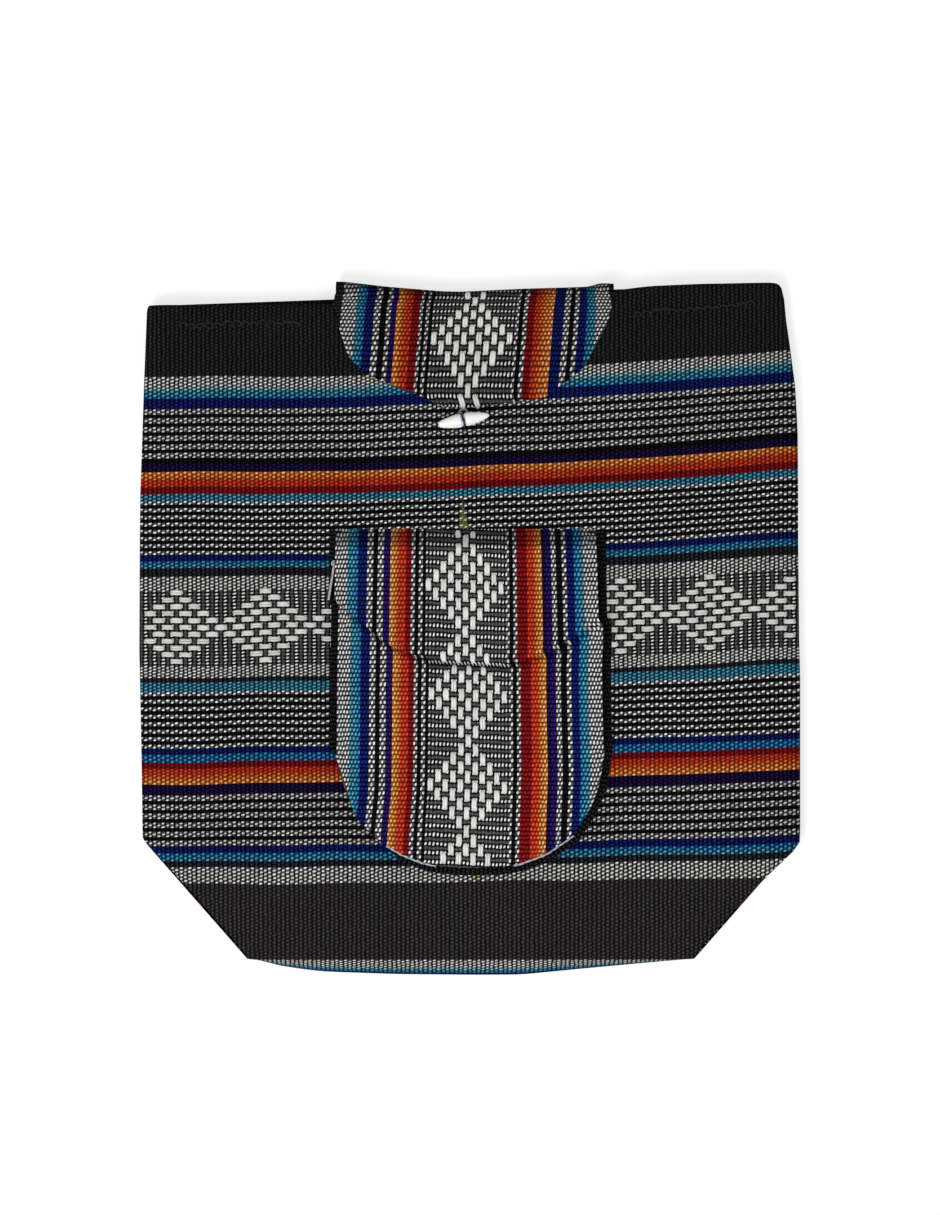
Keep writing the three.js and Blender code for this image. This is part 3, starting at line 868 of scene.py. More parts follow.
# Green mark above the pocket's top seam: its apex, the middle of its foot, and half its width there.
MARK_APEX_PX = (462.0, 497.0)
MARK_FOOT_PX = (464.0, 530.0)
MARK_HALF_PX = 6.0
MARK_GREEN = (118, 140, 62)
MARK_DEEP_GREEN = (96, 116, 44)
TINT_PLACE_PX = (478.0, 877.5)
TINT_HALF_PX = (7.0, 5.0)
TINT_YELLOW = (222, 226, 120)


def marked(n, cloth):
    """The cloth with the yellow-green mark that spreads down towards the pocket."""
    place = n.split(n.place())
    apex_x = x_mm(MARK_APEX_PX[0]) * MM
    apex_y = y_mm(MARK_APEX_PX[1]) * MM
    length = (MARK_FOOT_PX[1] - MARK_APEX_PX[1]) * PX * MM
    slope = (MARK_FOOT_PX[0] - MARK_APEX_PX[0]) * PX * MM / length
    below = n.minus(apex_y, place["Y"])
    middle = n.plus(n.times(below, slope), apex_x)
    aside = n.math("ABSOLUTE", n.minus(place["X"], middle))
    width = n.times(below, MARK_HALF_PX * PX * MM / length)
    ragged = n.times(n.minus(n.noise(500.0, 3.0), 0.5), 0.003)
    inside = n.plus(n.minus(width, aside), ragged)
    ended = n.ramp(n.minus(length * 1.1, below), 0.0, 0.002)
    share = n.times(n.times(n.ramp(inside, -0.0004, 0.0012), ended), 0.75)
    green = n.mix(1.0, cloth, MARK_GREEN, "SCREEN")
    return n.mix(share, cloth, n.mix(0.55, green, MARK_DEEP_GREEN, "MULTIPLY"))


def tinted(n, cloth):
    """The cloth with a faint yellow-green spot in the white band under the pocket."""
    place = n.split(n.place())
    aside = n.squared(n.minus(place["X"], x_mm(TINT_PLACE_PX[0]) * MM), TINT_HALF_PX[0] * PX * MM)
    above = n.squared(n.minus(place["Y"], y_mm(TINT_PLACE_PX[1]) * MM), TINT_HALF_PX[1] * PX * MM)
    share = n.ramp(n.plus(aside, above), 1.0, 0.2, 0.0, 0.8)
    return n.mix(share, cloth, n.mix(1.0, cloth, TINT_YELLOW, "MULTIPLY"))


def yarn_material(name, colour, shade):
    """Soft spun yarn whose fibres run along it, darker by the piece's own shade attribute, which holds
    painted shade.
    """
    n = new_material(name, Roughness=0.9, Specular_IOR_Level=0.06)
    streak = n.noise(1.0, 3.0, n.scaled(n.uv(), 1.6, 5.0, 1.0))
    mottle = n.noise(900.0, 2.0)
    share = n.times(n.ramp(streak, 0.3, 0.65), n.ramp(mottle, 0.3, 0.7, 0.7, 1.0))
    n.bump(n.plus(streak, n.times(mottle, 0.5)), 0.12 * MM)
    return n.finish(n.mix(1.0, n.mix(share, shade, colour), n.colour("shade"), "MULTIPLY"))


def thread_material(name, colour, shade):
    """Twisted sewing thread, with its plies as fine slanted bands."""
    n = new_material(name, Roughness=0.75, Specular_IOR_Level=0.25)
    turned = n.scaled(n.place(), 1.0, 1.0, 1.4)
    wave = n.node("TexWave", turned, bands_direction="DIAGONAL")
    n.set(wave, Scale=520.0, Distortion=1.5, Detail=1.0)
    mottle = n.noise(1400.0, 2.0)
    share = n.times(wave.outputs["Fac"], n.ramp(mottle, 0.3, 0.7, 0.6, 1.0))
    n.bump(n.plus(wave.outputs["Fac"], mottle), 0.1 * MM)
    return n.finish(n.mix(share, shade, colour))


def ivory_material():
    """Smooth pale bone, with faint grain along it and small dull specks."""
    n = new_material("ivory_bone", Roughness=0.42, Specular_IOR_Level=0.4)
    grain = n.noise(1.0, 4.0, n.scaled(n.place(), 120.0, 900.0, 900.0))
    cloud = n.noise(160.0, 3.0)
    speck = n.ramp(n.noise(1500.0, 2.0), 0.66, 0.72)
    colour = n.mix(n.ramp(grain, 0.35, 0.75), (254, 254, 252), (246, 244, 240))
    colour = n.mix(n.ramp(cloud, 0.5, 0.75, 0, 0.5), colour, (246, 244, 250))
    n.bump(n.plus(grain, cloud), 0.12 * MM)
    return n.finish(n.mix(n.times(speck, 0.4), colour, (190, 184, 172)))


def metal_material(name, colour, shade):
    """Painted zip metal with fine scratches and dull patches."""
    n = new_material(name, Metallic=0.55, Specular_IOR_Level=0.5)
    patch = n.noise(420.0, 4.0)
    n.set(Roughness=n.ramp(patch, 0.3, 0.7, 0.3, 0.52))
    n.bump(n.noise(1.0, 3.0, n.scaled(n.place(), 2400.0, 240.0, 2400.0)), 0.03 * MM)
    return n.finish(n.mix(n.ramp(patch, 0.4, 0.65), colour, shade))


def plastic_material(name, colour, light):
    n = new_material(name, Roughness=0.45, Specular_IOR_Level=0.4)
    mottle = n.noise(700.0, 3.0)
    n.bump(mottle, 0.03 * MM)
    return n.finish(n.mix(n.ramp(mottle, 0.35, 0.7), colour, light))


STRIPED = weave_material("striped_weave", stain=True)
PLAIN_STRIPED = weave_material("striped_weave_plain")
PANEL_STRIPED = weave_material("striped_weave_pocket", cover=2.0)
BLACK_CLOTH = weave_material("black_weave", bump=0.35)
FLOAT_YARN = yarn_material("float_yarn", (252, 251, 248), (226, 223, 218))
BLACK_THREAD = thread_material("black_thread", (20, 18, 19), (3, 3, 3))
SEAM_THREAD = thread_material("pale_seam_thread", (236, 242, 248), (128, 146, 170))
PALE_THREAD = thread_material("grey_white_thread", (226, 222, 219), (112, 107, 112))
DARK_THREAD = thread_material("dark_violet_thread", (70, 60, 112), (20, 14, 38))
IVORY = ivory_material()
ZIP_METAL = metal_material("lavender_zip_metal", (182, 172, 188), (140, 130, 148))
ZIP_PLASTIC = plastic_material("zip_coil_plastic", (34, 32, 34), (62.4, 59.2, 62.4))


# Cloth pieces.

FRONT_COLUMNS = 96
BACK_COLUMNS = 56


def crowded(count):
    """Shares from 0 to 1 that lie closer together near both ends."""
    even = np.linspace(0, 1, count + 1)
    return 0.35 * even + 0.65 * (0.5 - 0.5 * np.cos(math.pi * even))


def dress(piece, node, body="bag"):
    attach(piece, body)
    if node:
        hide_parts(node)
    return piece


def make_front():
    picks = np.arange(-HEM_DEPTH_PICKS, BODY_PICKS + ROLL_PICKS + 1)
    first, last = (px_rib(side)[:, None] for side in row_ends(between(BODY_EDGES, picks)))
    ribs = first + (last - first) * crowded(FRONT_COLUMNS)
    yarns = [body_yarn(max(pick, 0)) for pick in picks[:-1]]
    points = front_place(ribs, picks[:, None])
    piece = woven_piece("front_cloth", points, ribs, picks[:, None], yarns, STRIPED)
    dress(piece, "body_cloth")


def make_behind(name, place, rows, first_pick, flip):
    """The back or the base, whose ribs lie where the front's do."""
    points = place(crowded(BACK_COLUMNS), rows[:, None])
    ribs = px_rib(points[..., 0] / PX + ORIGIN_PX[0])
    picks = rows + first_pick
    yarns = [body_yarn(max(pick, 0)) for pick in picks[:-1]]
    piece = woven_piece(name, points, ribs, picks[:, None], yarns, PLAIN_STRIPED, flip=flip)
    return dress(piece, "body_cloth")


def make_back():
    last = int(np.searchsorted(BODY_EDGES, BASE_CORNER_PX)) + 1
    piece = make_behind("back_cloth", back_place, np.arange(-HEM_DEPTH_PICKS, last + 1), 0, True)


def make_base():
    piece = make_behind("base_cloth", base_place, np.arange(BASE_ROWS + 1), BASE_START, False)


def make_flap():
    picks = np.arange(len(FLAP_EDGES))
    fold = eased(FLAP_FOLD, FLAP_EDGES + 5, 6)
    reach = flap_reach(flap_x(picks, fold))
    bend = fold + reach / PX
    edge = meet(FLAP_EDGE, flap_x, picks, 360.0) - FLAP_HEM_PX
    y = bend + (edge - bend) * np.linspace(0, 1, FLAP_ROW_COUNT)[:, None] ** 0.9
    x = flap_x(picks, y)
    front = at_mm(x, y, flap_height(x, y))
    turned = turn_under(front, 0.75, 6.0)
    angles = np.radians(np.arange(180, 0, -12))[:, None]
    half = (front[0][:, 2] - FLAP_TAB_Z) / 2
    roll = at_mm(flap_x(picks, fold), bend, FLAP_TAB_Z + half + half * np.cos(angles))
    roll[..., 1] += reach * np.sin(angles)
    tab = roll[:1] - FLAP_TAB[:, None]
    points = np.concatenate([tab, roll, turned])
    along = lengths(points) / (FLAP_RIB_PX * PX)
    table = np.linspace(FLAP_DIAMOND_RIB - 19, FLAP_DIAMOND_RIB + 19, 400)
    ribs = np.interp(y, flap_y(table), table)
    start = len(tab) + len(roll)
    end = start + len(front)
    behind = ribs[0] + along[:start] - along[start]
    ribs = np.concatenate([behind, ribs, ribs[-1] + along[end:] - along[end - 1]])
    # Painted shade on the flap's rows near its fold and round it, where the cloth bends away from the
    # light.
    shade = read(((2, 0.6), (6, 0.72), (14, 1.0)), (y_mm(fold) - points[..., 1]) / PX)
    picks = picks + FLAP_LATTICE % 2
    piece = woven_piece("flap_cloth", points, ribs, picks, FLAP_YARNS, PLAIN_STRIPED, shade=shade)
    dress(piece, "flap")


def make_panel():
    picks = np.arange(len(PANEL_EDGES))
    edge = meet(PANEL_EDGE, panel_x, picks, 800.0) - PANEL_HEM_PX
    y = PANEL_TOP_PX + (edge - PANEL_TOP_PX) * np.linspace(0, 1, PANEL_ROWS + 1)[:, None]
    x = panel_x(picks, y)
    points = turn_under(at_mm(x, y, panel_height(x, y)), 0.8, 2.0)
    under = lengths(points[PANEL_ROWS:])[1:] / (PANEL_RIB_PX * PX)
    ribs = PANEL_NECK_RIB + (y - panel_slant(x) - PANEL_NECK_PX) / PANEL_RIB_PX
    ribs = np.concatenate([ribs, ribs[-1] + under])
    # Painted shade in the crease and below the top seam, carried on round the turned-under hem.
    shade = panel_shade(x, y)
    shade = np.concatenate([shade, shade[-1] + 0 * under])
    piece = woven_piece(
        "pocket_front", points, ribs, picks + PANEL_LATTICE % 2, PANEL_YARNS, PANEL_STRIPED,
        gain=PANEL_GAIN, shade=shade,
    )
    dress(piece, "pocket_panel")


# Floats: pairs of white yarn that lie loose over three ribs and build up the diamonds.

FLOAT_ALONG = np.array((-1.0, -0.95, -0.86, -0.7, -0.4, 0.0, 0.4, 0.7, 0.86, 0.95, 1.0))
FLOAT_ACROSS = np.array((-1.0, -0.86, -0.5, -0.14, 0.0, 0.14, 0.5, 0.86, 1.0))
FLOAT_LIFT = np.array((0.0, 0.66, 1.0, 0.7, 0.42, 0.7, 1.0, 0.66, 0.0))
# FLOAT_SHADE darkens each float across its width, at its edges and in the groove between its two yarns:
# painted shade.
FLOAT_SHADE = np.array((0.2, 0.78, 1.0, 0.92, 0.5, 0.92, 1.0, 0.78, 0.2))
FLOAT_HALF_RIBS = 1.46
FLOAT_HALF_PICKS = 1.56
FLOAT_HEIGHT = 0.95
FLOAT_SIDES_PX = (140.0 + 1.6 * RIB_PX, 799.0 - 1.6 * RIB_PX)
BEHIND_POCKET_PX = (340, 590)
# Painted light and shade: the body's floats are painted darker and the pocket's brighter, as lit and shaded
# copies of one yarn.
BODY_FLOAT_LIGHT = 0.9
POCKET_FLOAT_LIGHT = 1.07
NECK_PICK = 21.5


def diamond(centre, first, low, high):
    """Rib and pick of each float of one diamond, as far as it lies between two ribs."""
    found = []
    for row in range(11):
        reach = 2 * min(row, 10 - row)
        ribs = [centre + step for step in range(-reach, reach + 1, 4)]
        found += [(rib, first + 4 * row + 1.5) for rib in ribs if low < rib < high]
    return found


def make_floats(name, place, spots, side, light=1.0):
    """All the floats of one cloth as one piece. side is 1 where the cloth faces up, -1 where down."""
    random = np.random.default_rng(SEED + 20)
    centre_rib, centre_pick = np.array([spot[:2] for spot in spots]).T[:, :, None, None]
    stretch = np.array([spot[2] if len(spot) > 2 else 1.0 for spot in spots])[:, None, None]
    jitter = random.uniform(-1, 1, (6, len(spots), 1, 1))
    along = FLOAT_ALONG[None, :, None]
    across = FLOAT_ACROSS[None, None, :]
    end = np.abs(along) ** 4
    half_ribs = FLOAT_HALF_RIBS * (1 + 0.07 * jitter[0]) * stretch
    rounded = (1 - np.abs(along) ** 2.3) ** 0.55
    half_picks = FLOAT_HALF_PICKS * (1 + 0.08 * jitter[1]) * (0.12 + 0.88 * rounded)
    ribs = centre_rib + along * half_ribs + 0 * across
    picks = centre_pick + across * half_picks + 0.22 * jitter[2] + 0.2 * jitter[3] * along
    down_rib = place(ribs + 0.2, picks) - place(ribs - 0.2, picks)
    down_pick = place(ribs, picks + 0.2) - place(ribs, picks - 0.2)
    normal = unit(np.cross(down_rib, down_pick))
    turned = -normal[0, len(FLOAT_ALONG) // 2, len(FLOAT_ACROSS) // 2, 2] * side > 0
    normal *= np.sign(normal[..., 2:3] * side + 1e-9)
    height = FLOAT_HEIGHT * (1 + 0.15 * jitter[4]) * FLOAT_LIFT * (1 - end) - 0.15
    points = place(ribs, picks) + normal * height[..., None]
    pattern = np.array(grid_faces(len(FLOAT_ALONG), len(FLOAT_ACROSS), flip=turned))
    faces = pattern[None] + np.arange(len(spots))[:, None, None] * height[0].size
    piece = new_object(name, points.reshape(-1, 3), faces.reshape(-1, 4).tolist(), FLOAT_YARN)
    order = corner_points(piece)
    mark = np.stack([along * 0.8 + centre_rib + 0 * across, 0 * along + across + centre_pick * 3.1], -1)
    set_weave(piece, mark.reshape(-1, 2)[order])
    # The shade attribute is painted shade: darker at the float's edges, in its groove and towards its
    # tucked ends, and scaled by light.
    groove = 1 - (1 - FLOAT_SHADE) * (1 + 0.5 * jitter[5])
    shade = np.clip(groove * (1 - 0.6 * end) * (0.93 + 0.07 * jitter[4]) * light, 0.05, 1.0)
    set_colour(piece, "shade", shade.reshape(-1, 1)[order])
    dress(piece, None)


def back_at(ribs, picks):
    left, right = row_ends(between(BODY_EDGES, picks))
    return back_place((rib_px(ribs) - left) / (right - left), picks)


def base_at(ribs, picks):
    row = picks - BASE_START
    left = base_left(base_y(row))
    return base_place((rib_px(ribs) - left) / (BASE_MIDDLE_PX - left) / 2, row)


def on_base(rib, pick):
    """Whether a float lies well inside the folded base."""
    y = base_y(pick - BASE_START)
    aside = abs(rib_px(rib) - BASE_MIDDLE_PX)
    return aside < BASE_MIDDLE_PX - base_left(y) - 9 and y > BASE_TOP_PX + 5


def pinched(rib, pick):
    """A float of the pocket with its length, cut at the top seam or moved clear of the crease."""
    top = PANEL_NECK_RIB + (PANEL_TOP_PX + 1.5 - PANEL_NECK_PX) / PANEL_RIB_PX
    if rib - FLOAT_HALF_RIBS < top:
        end = rib + FLOAT_HALF_RIBS
        return (top + end) / 2, pick, (end - top) / 2 / FLOAT_HALF_RIBS
    x, y, _ = panel_place(rib, pick)
    gap = from_crease(x / PX + ORIGIN_PX[0], ORIGIN_PX[1] - y / PX)[0] / PANEL_RIB_PX
    near = max(0.0, 1 - abs(gap) / 1.9)
    return rib + near * 0.75 * (1 if gap > 0 else -1), pick, 1 - 0.42 * near


def make_all_floats():
    left, right = (px_rib(side) for side in FLOAT_SIDES_PX)
    behind_pocket = [px_rib(side) for side in BEHIND_POCKET_PX]
    centres = [FIRST_DIAMOND_RIB + DIAMOND_RIBS * n for n in range(-1, 9)]
    body = [spot for centre in centres for spot in diamond(centre, BODY_LATTICE, left, right)]
    necks = [centre + DIAMOND_RIBS / 2 for centre in centres]
    body += [(rib, BODY_LATTICE + NECK_PICK) for rib in necks if left < rib < right]
    front = [spot for spot in body if not behind_pocket[0] < spot[0] < behind_pocket[1]]
    base = [(rib, pick + REPEAT_PICKS) for rib, pick in body]
    base = [spot for spot in base if on_base(*spot)]
    make_floats("front_floats", front_place, front, 1, BODY_FLOAT_LIGHT)
    make_floats("back_floats", back_at, body, -1, BODY_FLOAT_LIGHT)
    make_floats("base_floats", base_at, base, -1, BODY_FLOAT_LIGHT)
    panel = [spot for centre, *ends in PANEL_DIAMONDS for spot in diamond(centre, PANEL_LATTICE, *ends)]
    panel += [(rib, PANEL_LATTICE + NECK_PICK) for rib in PANEL_NECKS]
    panel = [spot for spot in (pinched(*spot) for spot in panel) if spot[2] > 0.3]
    make_floats("pocket_floats", panel_place, panel, 1, POCKET_FLOAT_LIGHT)
    middle = FLAP_DIAMOND_RIB
    neck = middle + DIAMOND_RIBS / 2
    flap = diamond(middle, FLAP_LATTICE, neck - 19, neck)
    flap += diamond(middle - DIAMOND_RIBS, FLAP_LATTICE, 28, neck - 21)
    flap.append((neck - DIAMOND_RIBS, FLAP_LATTICE + NECK_PICK))
    flap += diamond(middle + DIAMOND_RIBS, FLAP_LATTICE, neck, neck + 2.5)
    flap.append((neck, FLAP_LATTICE + NECK_PICK))
    make_floats("flap_floats", flap_place, flap, 1)


# Zip opening in the pocket's left side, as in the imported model.
COIL_LOW, COIL_HIGH = box_mm("zip_coil_lower")
COIL_X = (COIL_LOW[0] + COIL_HIGH[0]) / 2
SLIT_ENDS = (COIL_LOW[1] - 0.3, COIL_HIGH[1] + 0.3)

# Pocket side: a strip of black cloth swept round the panel, from a flange on the front up to the panel.

SEAM_STRETCHES_PX = ((386, 437), (510, 574))
SEAM_RADIUS = 0.34
SEAM_TWIST = 2.4
WALL_INSET = 3.9
GUSSET_PROFILE = (
    (5.6, 0.1), (5.4, 1.2), (4.6, 1.9), (1.8, 1.8), (0.0, 1.9), (-2.4, 2.1), (-WALL_INSET, 2.3),
    (-WALL_INSET, 8.5), (-2.6, 8.9), (-0.8, 9.8), (0.4, 10.6),
)
OPENING_ROW = 6
HIDDEN_BELOW_PX = 742
PATH_SIDES_PX = (336.0, 602.3)
PATH_MIDDLE_PX = 469.0
PATH_HALF_PX = 134.5


def pocket_path():
    """Points and outward directions round the panel's edge, from its top left to its top right, in mm."""
    left_x, right_x = PATH_SIDES_PX
    left = [(left_x + panel_shift(left_x + 1, y) * 0.6, y) for y in np.linspace(531, 738, 60)]
    turn = np.linspace(0.02, math.pi - 0.02, 70)
    curve = [(x, eased(PANEL_EDGE, x, 3)) for x in PATH_MIDDLE_PX - PATH_HALF_PX * np.cos(turn)]
    right = [(right_x + panel_shift(right_x - 0.3, y), y) for y in np.linspace(733, 531, 60)]
    x, y = np.array(left + curve + right).T
    points = at_mm(x, y, 0)[:, :2]
    outward = -beside(np.gradient(points, axis=0))[:, :2]
    for _ in range(3):
        outward[1:-1] = (outward[:-2] + outward[1:-1] + outward[2:]) / 3
    return points, unit(outward)


def make_gusset():
    points, outward = pocket_path()
    x, y = points.T
    down = smooth((y_mm(PANEL_TOP_PX) - y) / PANEL_SLOPE)
    hidden = smooth((y_mm(HIDDEN_BELOW_PX) - y) / 8) * smooth((-38 - x) / 14)
    wide = read(((-90, 0.68), (-60, 0.72), (-20, 0.95), (30, 1.0), (90, 1.02)), x) * (1 - 0.68 * hidden)
    straight = smooth((y - SLIT_ENDS[0] + 12) / 10) * (x < 0)
    rows = []
    for row, (out, level) in enumerate(GUSSET_PROFILE):
        rise = down if level > 3.0 else 1.0
        wave = 0.2 * np.sin(np.arange(len(points)) * 0.9 + row) * (level > 3.0) * (1 - straight)
        height = FRONT_Z + 0.1 + (level - 0.1) * rise + wave * rise
        place = points + outward * (out * wide if out > 0 else out + 0 * wide)[:, None]
        if row in (OPENING_ROW, OPENING_ROW + 1):
            place[:, 0] += (COIL_X - place[:, 0]) * straight
        rows.append(np.column_stack([place, height]))
    ribs = lengths(points) / (RIB_PX * PX)
    picks = lengths(np.array(GUSSET_PROFILE))[:, None]
    yarns = ["web_black"] * (len(rows) - 1)
    piece = woven_piece("pocket_side", np.array(rows), ribs, picks, yarns, BLACK_CLOTH, flip=True)
    open_zip(piece)
    dress(piece, "pocket_gusset")


def open_zip(piece):
    """Take out the faces of the side wall between the zip's two coils."""
    shape = opened(piece)
    gone = []
    for face in shape.faces:
        centre = face.calc_center_median() / MM
        heights = [vertex.co.z / MM for vertex in face.verts]
        if max(heights) - min(heights) > 4 and centre.x < 0 and SLIT_ENDS[0] < centre.y < SLIT_ENDS[1]:
            gone.append(face)
    bmesh.ops.delete(shape, geom=gone, context="FACES")
    put_back(shape, piece)


def make_seam_line():
    points, outward = pocket_path()
    paths = []
    for left, right in SEAM_STRETCHES_PX:
        near = (points[:, 0] > x_mm(left)) & (points[:, 0] < x_mm(right)) & (points[:, 1] < y_mm(780))
        known = np.column_stack([points, outward])[near]
        fine = np.linspace(0, len(known) - 1, len(known) * 8)
        x, y, out_x, out_y = (np.interp(fine, np.arange(len(known)), column) for column in known.T)
        aside = np.column_stack([out_x, out_y, 0 * fine])
        middle = np.column_stack([x, y, 0 * fine + GUSSET_TOP + 0.2]) + aside * 0.7
        paths += twisted(middle, aside, SEAM_RADIUS, fine * SEAM_TWIST)
    dress(tubes("pocket_seam_thread", paths, SEAM_RADIUS, SEAM_THREAD), None)


# Toggle, the thread wound in its groove, and the twisted loop from the flap's tip round that thread.

TOGGLE_LOW, TOGGLE_HIGH = box_mm("toggle")
TOGGLE_PLACE = (TOGGLE_LOW + TOGGLE_HIGH) / 2
TOGGLE_TILT = math.radians(11)
TOGGLE_PROFILE = (
    (-15.4, 0.0), (-15.35, 0.9), (-15.0, 1.6), (-14.2, 2.1), (-12.0, 2.75), (-9.0, 3.45), (-6.0, 3.95),
    (-3.5, 4.15), (-2.0, 4.12), (-1.45, 3.95), (-1.15, 3.5), (-0.8, 3.4), (0.8, 3.4), (1.15, 3.5),
    (1.45, 3.95), (2.0, 4.12), (3.5, 4.1), (6.0, 3.8), (9.0, 3.2), (12.0, 2.4), (14.2, 1.65), (15.4, 1.05),
    (15.9, 0.5), (16.0, 0.0),
)
TOGGLE_SIDES = 40
THREAD_RING = 3.95
THREAD_RADIUS = 0.5
STEM_PLY = 0.5
STEM_TWIST = 9.0


def toggle_frame(points):
    """Points of the toggle's own frame, with x along it, put where it lies."""
    cos, sin = math.cos(TOGGLE_TILT), math.sin(TOGGLE_TILT)
    return np.asarray(points, float) @ np.array([[cos, sin, 0], [-sin, cos, 0], [0, 0, 1]]) + TOGGLE_PLACE


def make_toggle():
    places, radii = np.array(TOGGLE_PROFILE).T[..., None]
    angles = np.arange(TOGGLE_SIDES) * FULL_TURN / TOGGLE_SIDES
    ring = radii * (1 + 0.025 * swell(places, angles[None] * 3.0, 14, SEED + 30))
    points = np.stack([places + 0 * ring, ring * np.cos(angles), ring * np.sin(angles)], -1)
    faces = grid_faces(len(places), TOGGLE_SIDES, flip=True, close=True)
    piece = new_object("bone_toggle", toggle_frame(points).reshape(-1, 3), faces, IVORY)
    shape = piece.modifiers.new("round", "SUBSURF")
    shape.levels = 1
    shape.render_levels = 1
    dress(piece, "toggle", "toggle_body")


def make_toggle_thread():
    turn = np.linspace(0, 2 * FULL_TURN, 80)
    along = (turn / turn[-1] - 0.5) * 0.8
    winding = np.column_stack([along, THREAD_RING * np.sin(turn), THREAD_RING * np.cos(turn)])
    steps = np.linspace(0, 1, 16)
    depth = TOGGLE_PLACE[2] - FRONT_Z - 0.3
    level = -THREAD_RING - (depth - THREAD_RING) * steps
    plies = []
    for phase in (0, math.pi):
        twist = steps * STEM_TWIST + phase
        plies.append(np.column_stack([STEM_PLY * np.cos(twist), STEM_PLY * np.sin(twist), level]))
    turn = np.linspace(0, FULL_TURN, 14)
    knot = np.column_stack([0.35 * np.cos(turn), 0.9 * np.sin(turn), THREAD_RING + 0.35 + 0.1 * turn / 6])
    paths = [toggle_frame(path) for path in (winding, *plies, knot)]
    piece = tubes("toggle_winding", paths, THREAD_RADIUS, DARK_THREAD, sides=8)
    dress(piece, "toggle_thread", "toggle_body")


LOOP_PLY = 0.44
LOOP_TWISTS = 9


def make_flap_loop():
    low, high = box_mm("flap_loop")
    half = (high - low) / 2 - LOOP_PLY * 1.5
    turn = np.arange(96) * FULL_TURN / 96
    outward = np.column_stack([np.cos(turn), np.sin(turn), 0 * turn])
    plies = twisted((low + high) / 2 + outward * half, outward, LOOP_PLY, turn * LOOP_TWISTS)
    piece = tubes("flap_loop_thread", plies, LOOP_PLY, PALE_THREAD, sides=8, closed=True)
    dress(piece, "flap_loop")


# Zip: two coils of round wire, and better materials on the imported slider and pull.

COIL_PITCH = 1.5
COIL_WIRE = 0.26


def make_coil(name, node):
    low, high = box_mm(node)
    turns = int((high[1] - low[1]) / COIL_PITCH)
    turn = np.linspace(0, FULL_TURN * turns, turns * 12)
    middle = (low + high) / 2
    half = (high - low) / 2 - COIL_WIRE
    along = np.linspace(-1, 1, len(turn))
    path = middle + half * np.column_stack([np.cos(turn), along, np.sin(turn)])
    dress(tubes(name, [path], COIL_WIRE, ZIP_PLASTIC), node)


def finish_metal():
    for node in ("zip_slider", "zip_pull"):
        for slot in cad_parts[node].material_slots:
            slot.material = ZIP_METAL


# Straps and haul loop: flat webbing, folded to and fro behind the back.

STRAP_ROUTE = ((48.0, 189.5), (76.75, -44.0), (105.5, 127.5), (163.0, -44.0))
STRAP_LEVELS = (3.6, 2.1, 0.62)
STRAP_WIDTH = 38.0
WEB_THICKNESS = 1.1
WEB_RIB = 1.6
WEB_PICK = 1.1
BAND_ACROSS = (-1, -0.985, -0.9, -0.6, -0.3, 0, 0.3, 0.6, 0.9, 0.985, 1)
BAND_LIFT = (0, 0.8, 1, 0.9, 1, 0.94, 1, 0.9, 1, 0.8, 0)
FOLD_STEPS = 8
FOLD_CLEAR = 1.2


def make_band(name, centres, sides, width, node):
    """A closed flat band along centres, with its width along sides."""
    normal = unit(np.cross(unit(np.gradient(centres, axis=0)), sides))
    across = np.array(BAND_ACROSS + BAND_ACROSS[-2::-1], float)[:, None]
    lift = np.array(BAND_LIFT)
    lift = np.concatenate([lift, -lift[-2::-1]])[:, None]
    thin = np.ones((len(centres), 1, 1))
    thin[[0, -1]] = 0.1
    rise = normal[:, None] * lift * thin * WEB_THICKNESS / 2
    points = centres[:, None] + sides[:, None] * across * width / 2 + rise
    ribs = across[:, 0] * width / 2 / WEB_RIB
    picks = lengths(centres)[:, None] / WEB_PICK
    yarns = ["web_black"] * (len(centres) - 1)
    piece = woven_piece(name, points, ribs, picks, yarns, BLACK_CLOTH)
    shape = opened(piece)
    bmesh.ops.remove_doubles(shape, verts=shape.verts, dist=1e-7)
    bmesh.ops.recalc_face_normals(shape, faces=shape.faces)
    put_back(shape, piece)
    return dress(piece, node)


def across_leg(along):
    """Level direction square to a leg of a strap, towards +X."""
    side = beside(along)
    return side * np.sign(side[0])


def make_strap(name, node, sign):
    route = np.array(STRAP_ROUTE) * (sign, 1)
    legs = [unit(end - start) for start, end in zip(route, route[1:])]
    centres = []
    sides = []
    for leg, along in enumerate(legs):
        start, end = route[leg:leg + 2]
        first = FOLD_CLEAR if leg else 0.0
        last = np.linalg.norm(end - start) - (FOLD_CLEAR if leg < 2 else 0.0)
        for at in np.linspace(first, last, 24):
            centres.append((*(start + along * at), STRAP_LEVELS[leg]))
            sides.append(across_leg(along))
        if leg == 2:
            break
        upper, lower = STRAP_LEVELS[leg:leg + 2]
        ahead = legs[leg + 1]
        for share in np.arange(1, FOLD_STEPS) / FOLD_STEPS:
            x, y = end + (share * ahead - (1 - share) * along) * FOLD_CLEAR
            y += np.sign(along[1]) * (upper - lower) / 2 * math.sin(math.pi * share)
            centres.append((x, y, (upper + lower + (upper - lower) * math.cos(math.pi * share)) / 2))
            sides.append(unit(across_leg(along) * (1 - share) + across_leg(ahead) * share))
    piece = make_band(name, np.array(centres), np.array(sides), STRAP_WIDTH, node)


HAUL_HALF = 13.5
HAUL_WIDTH = 9.0


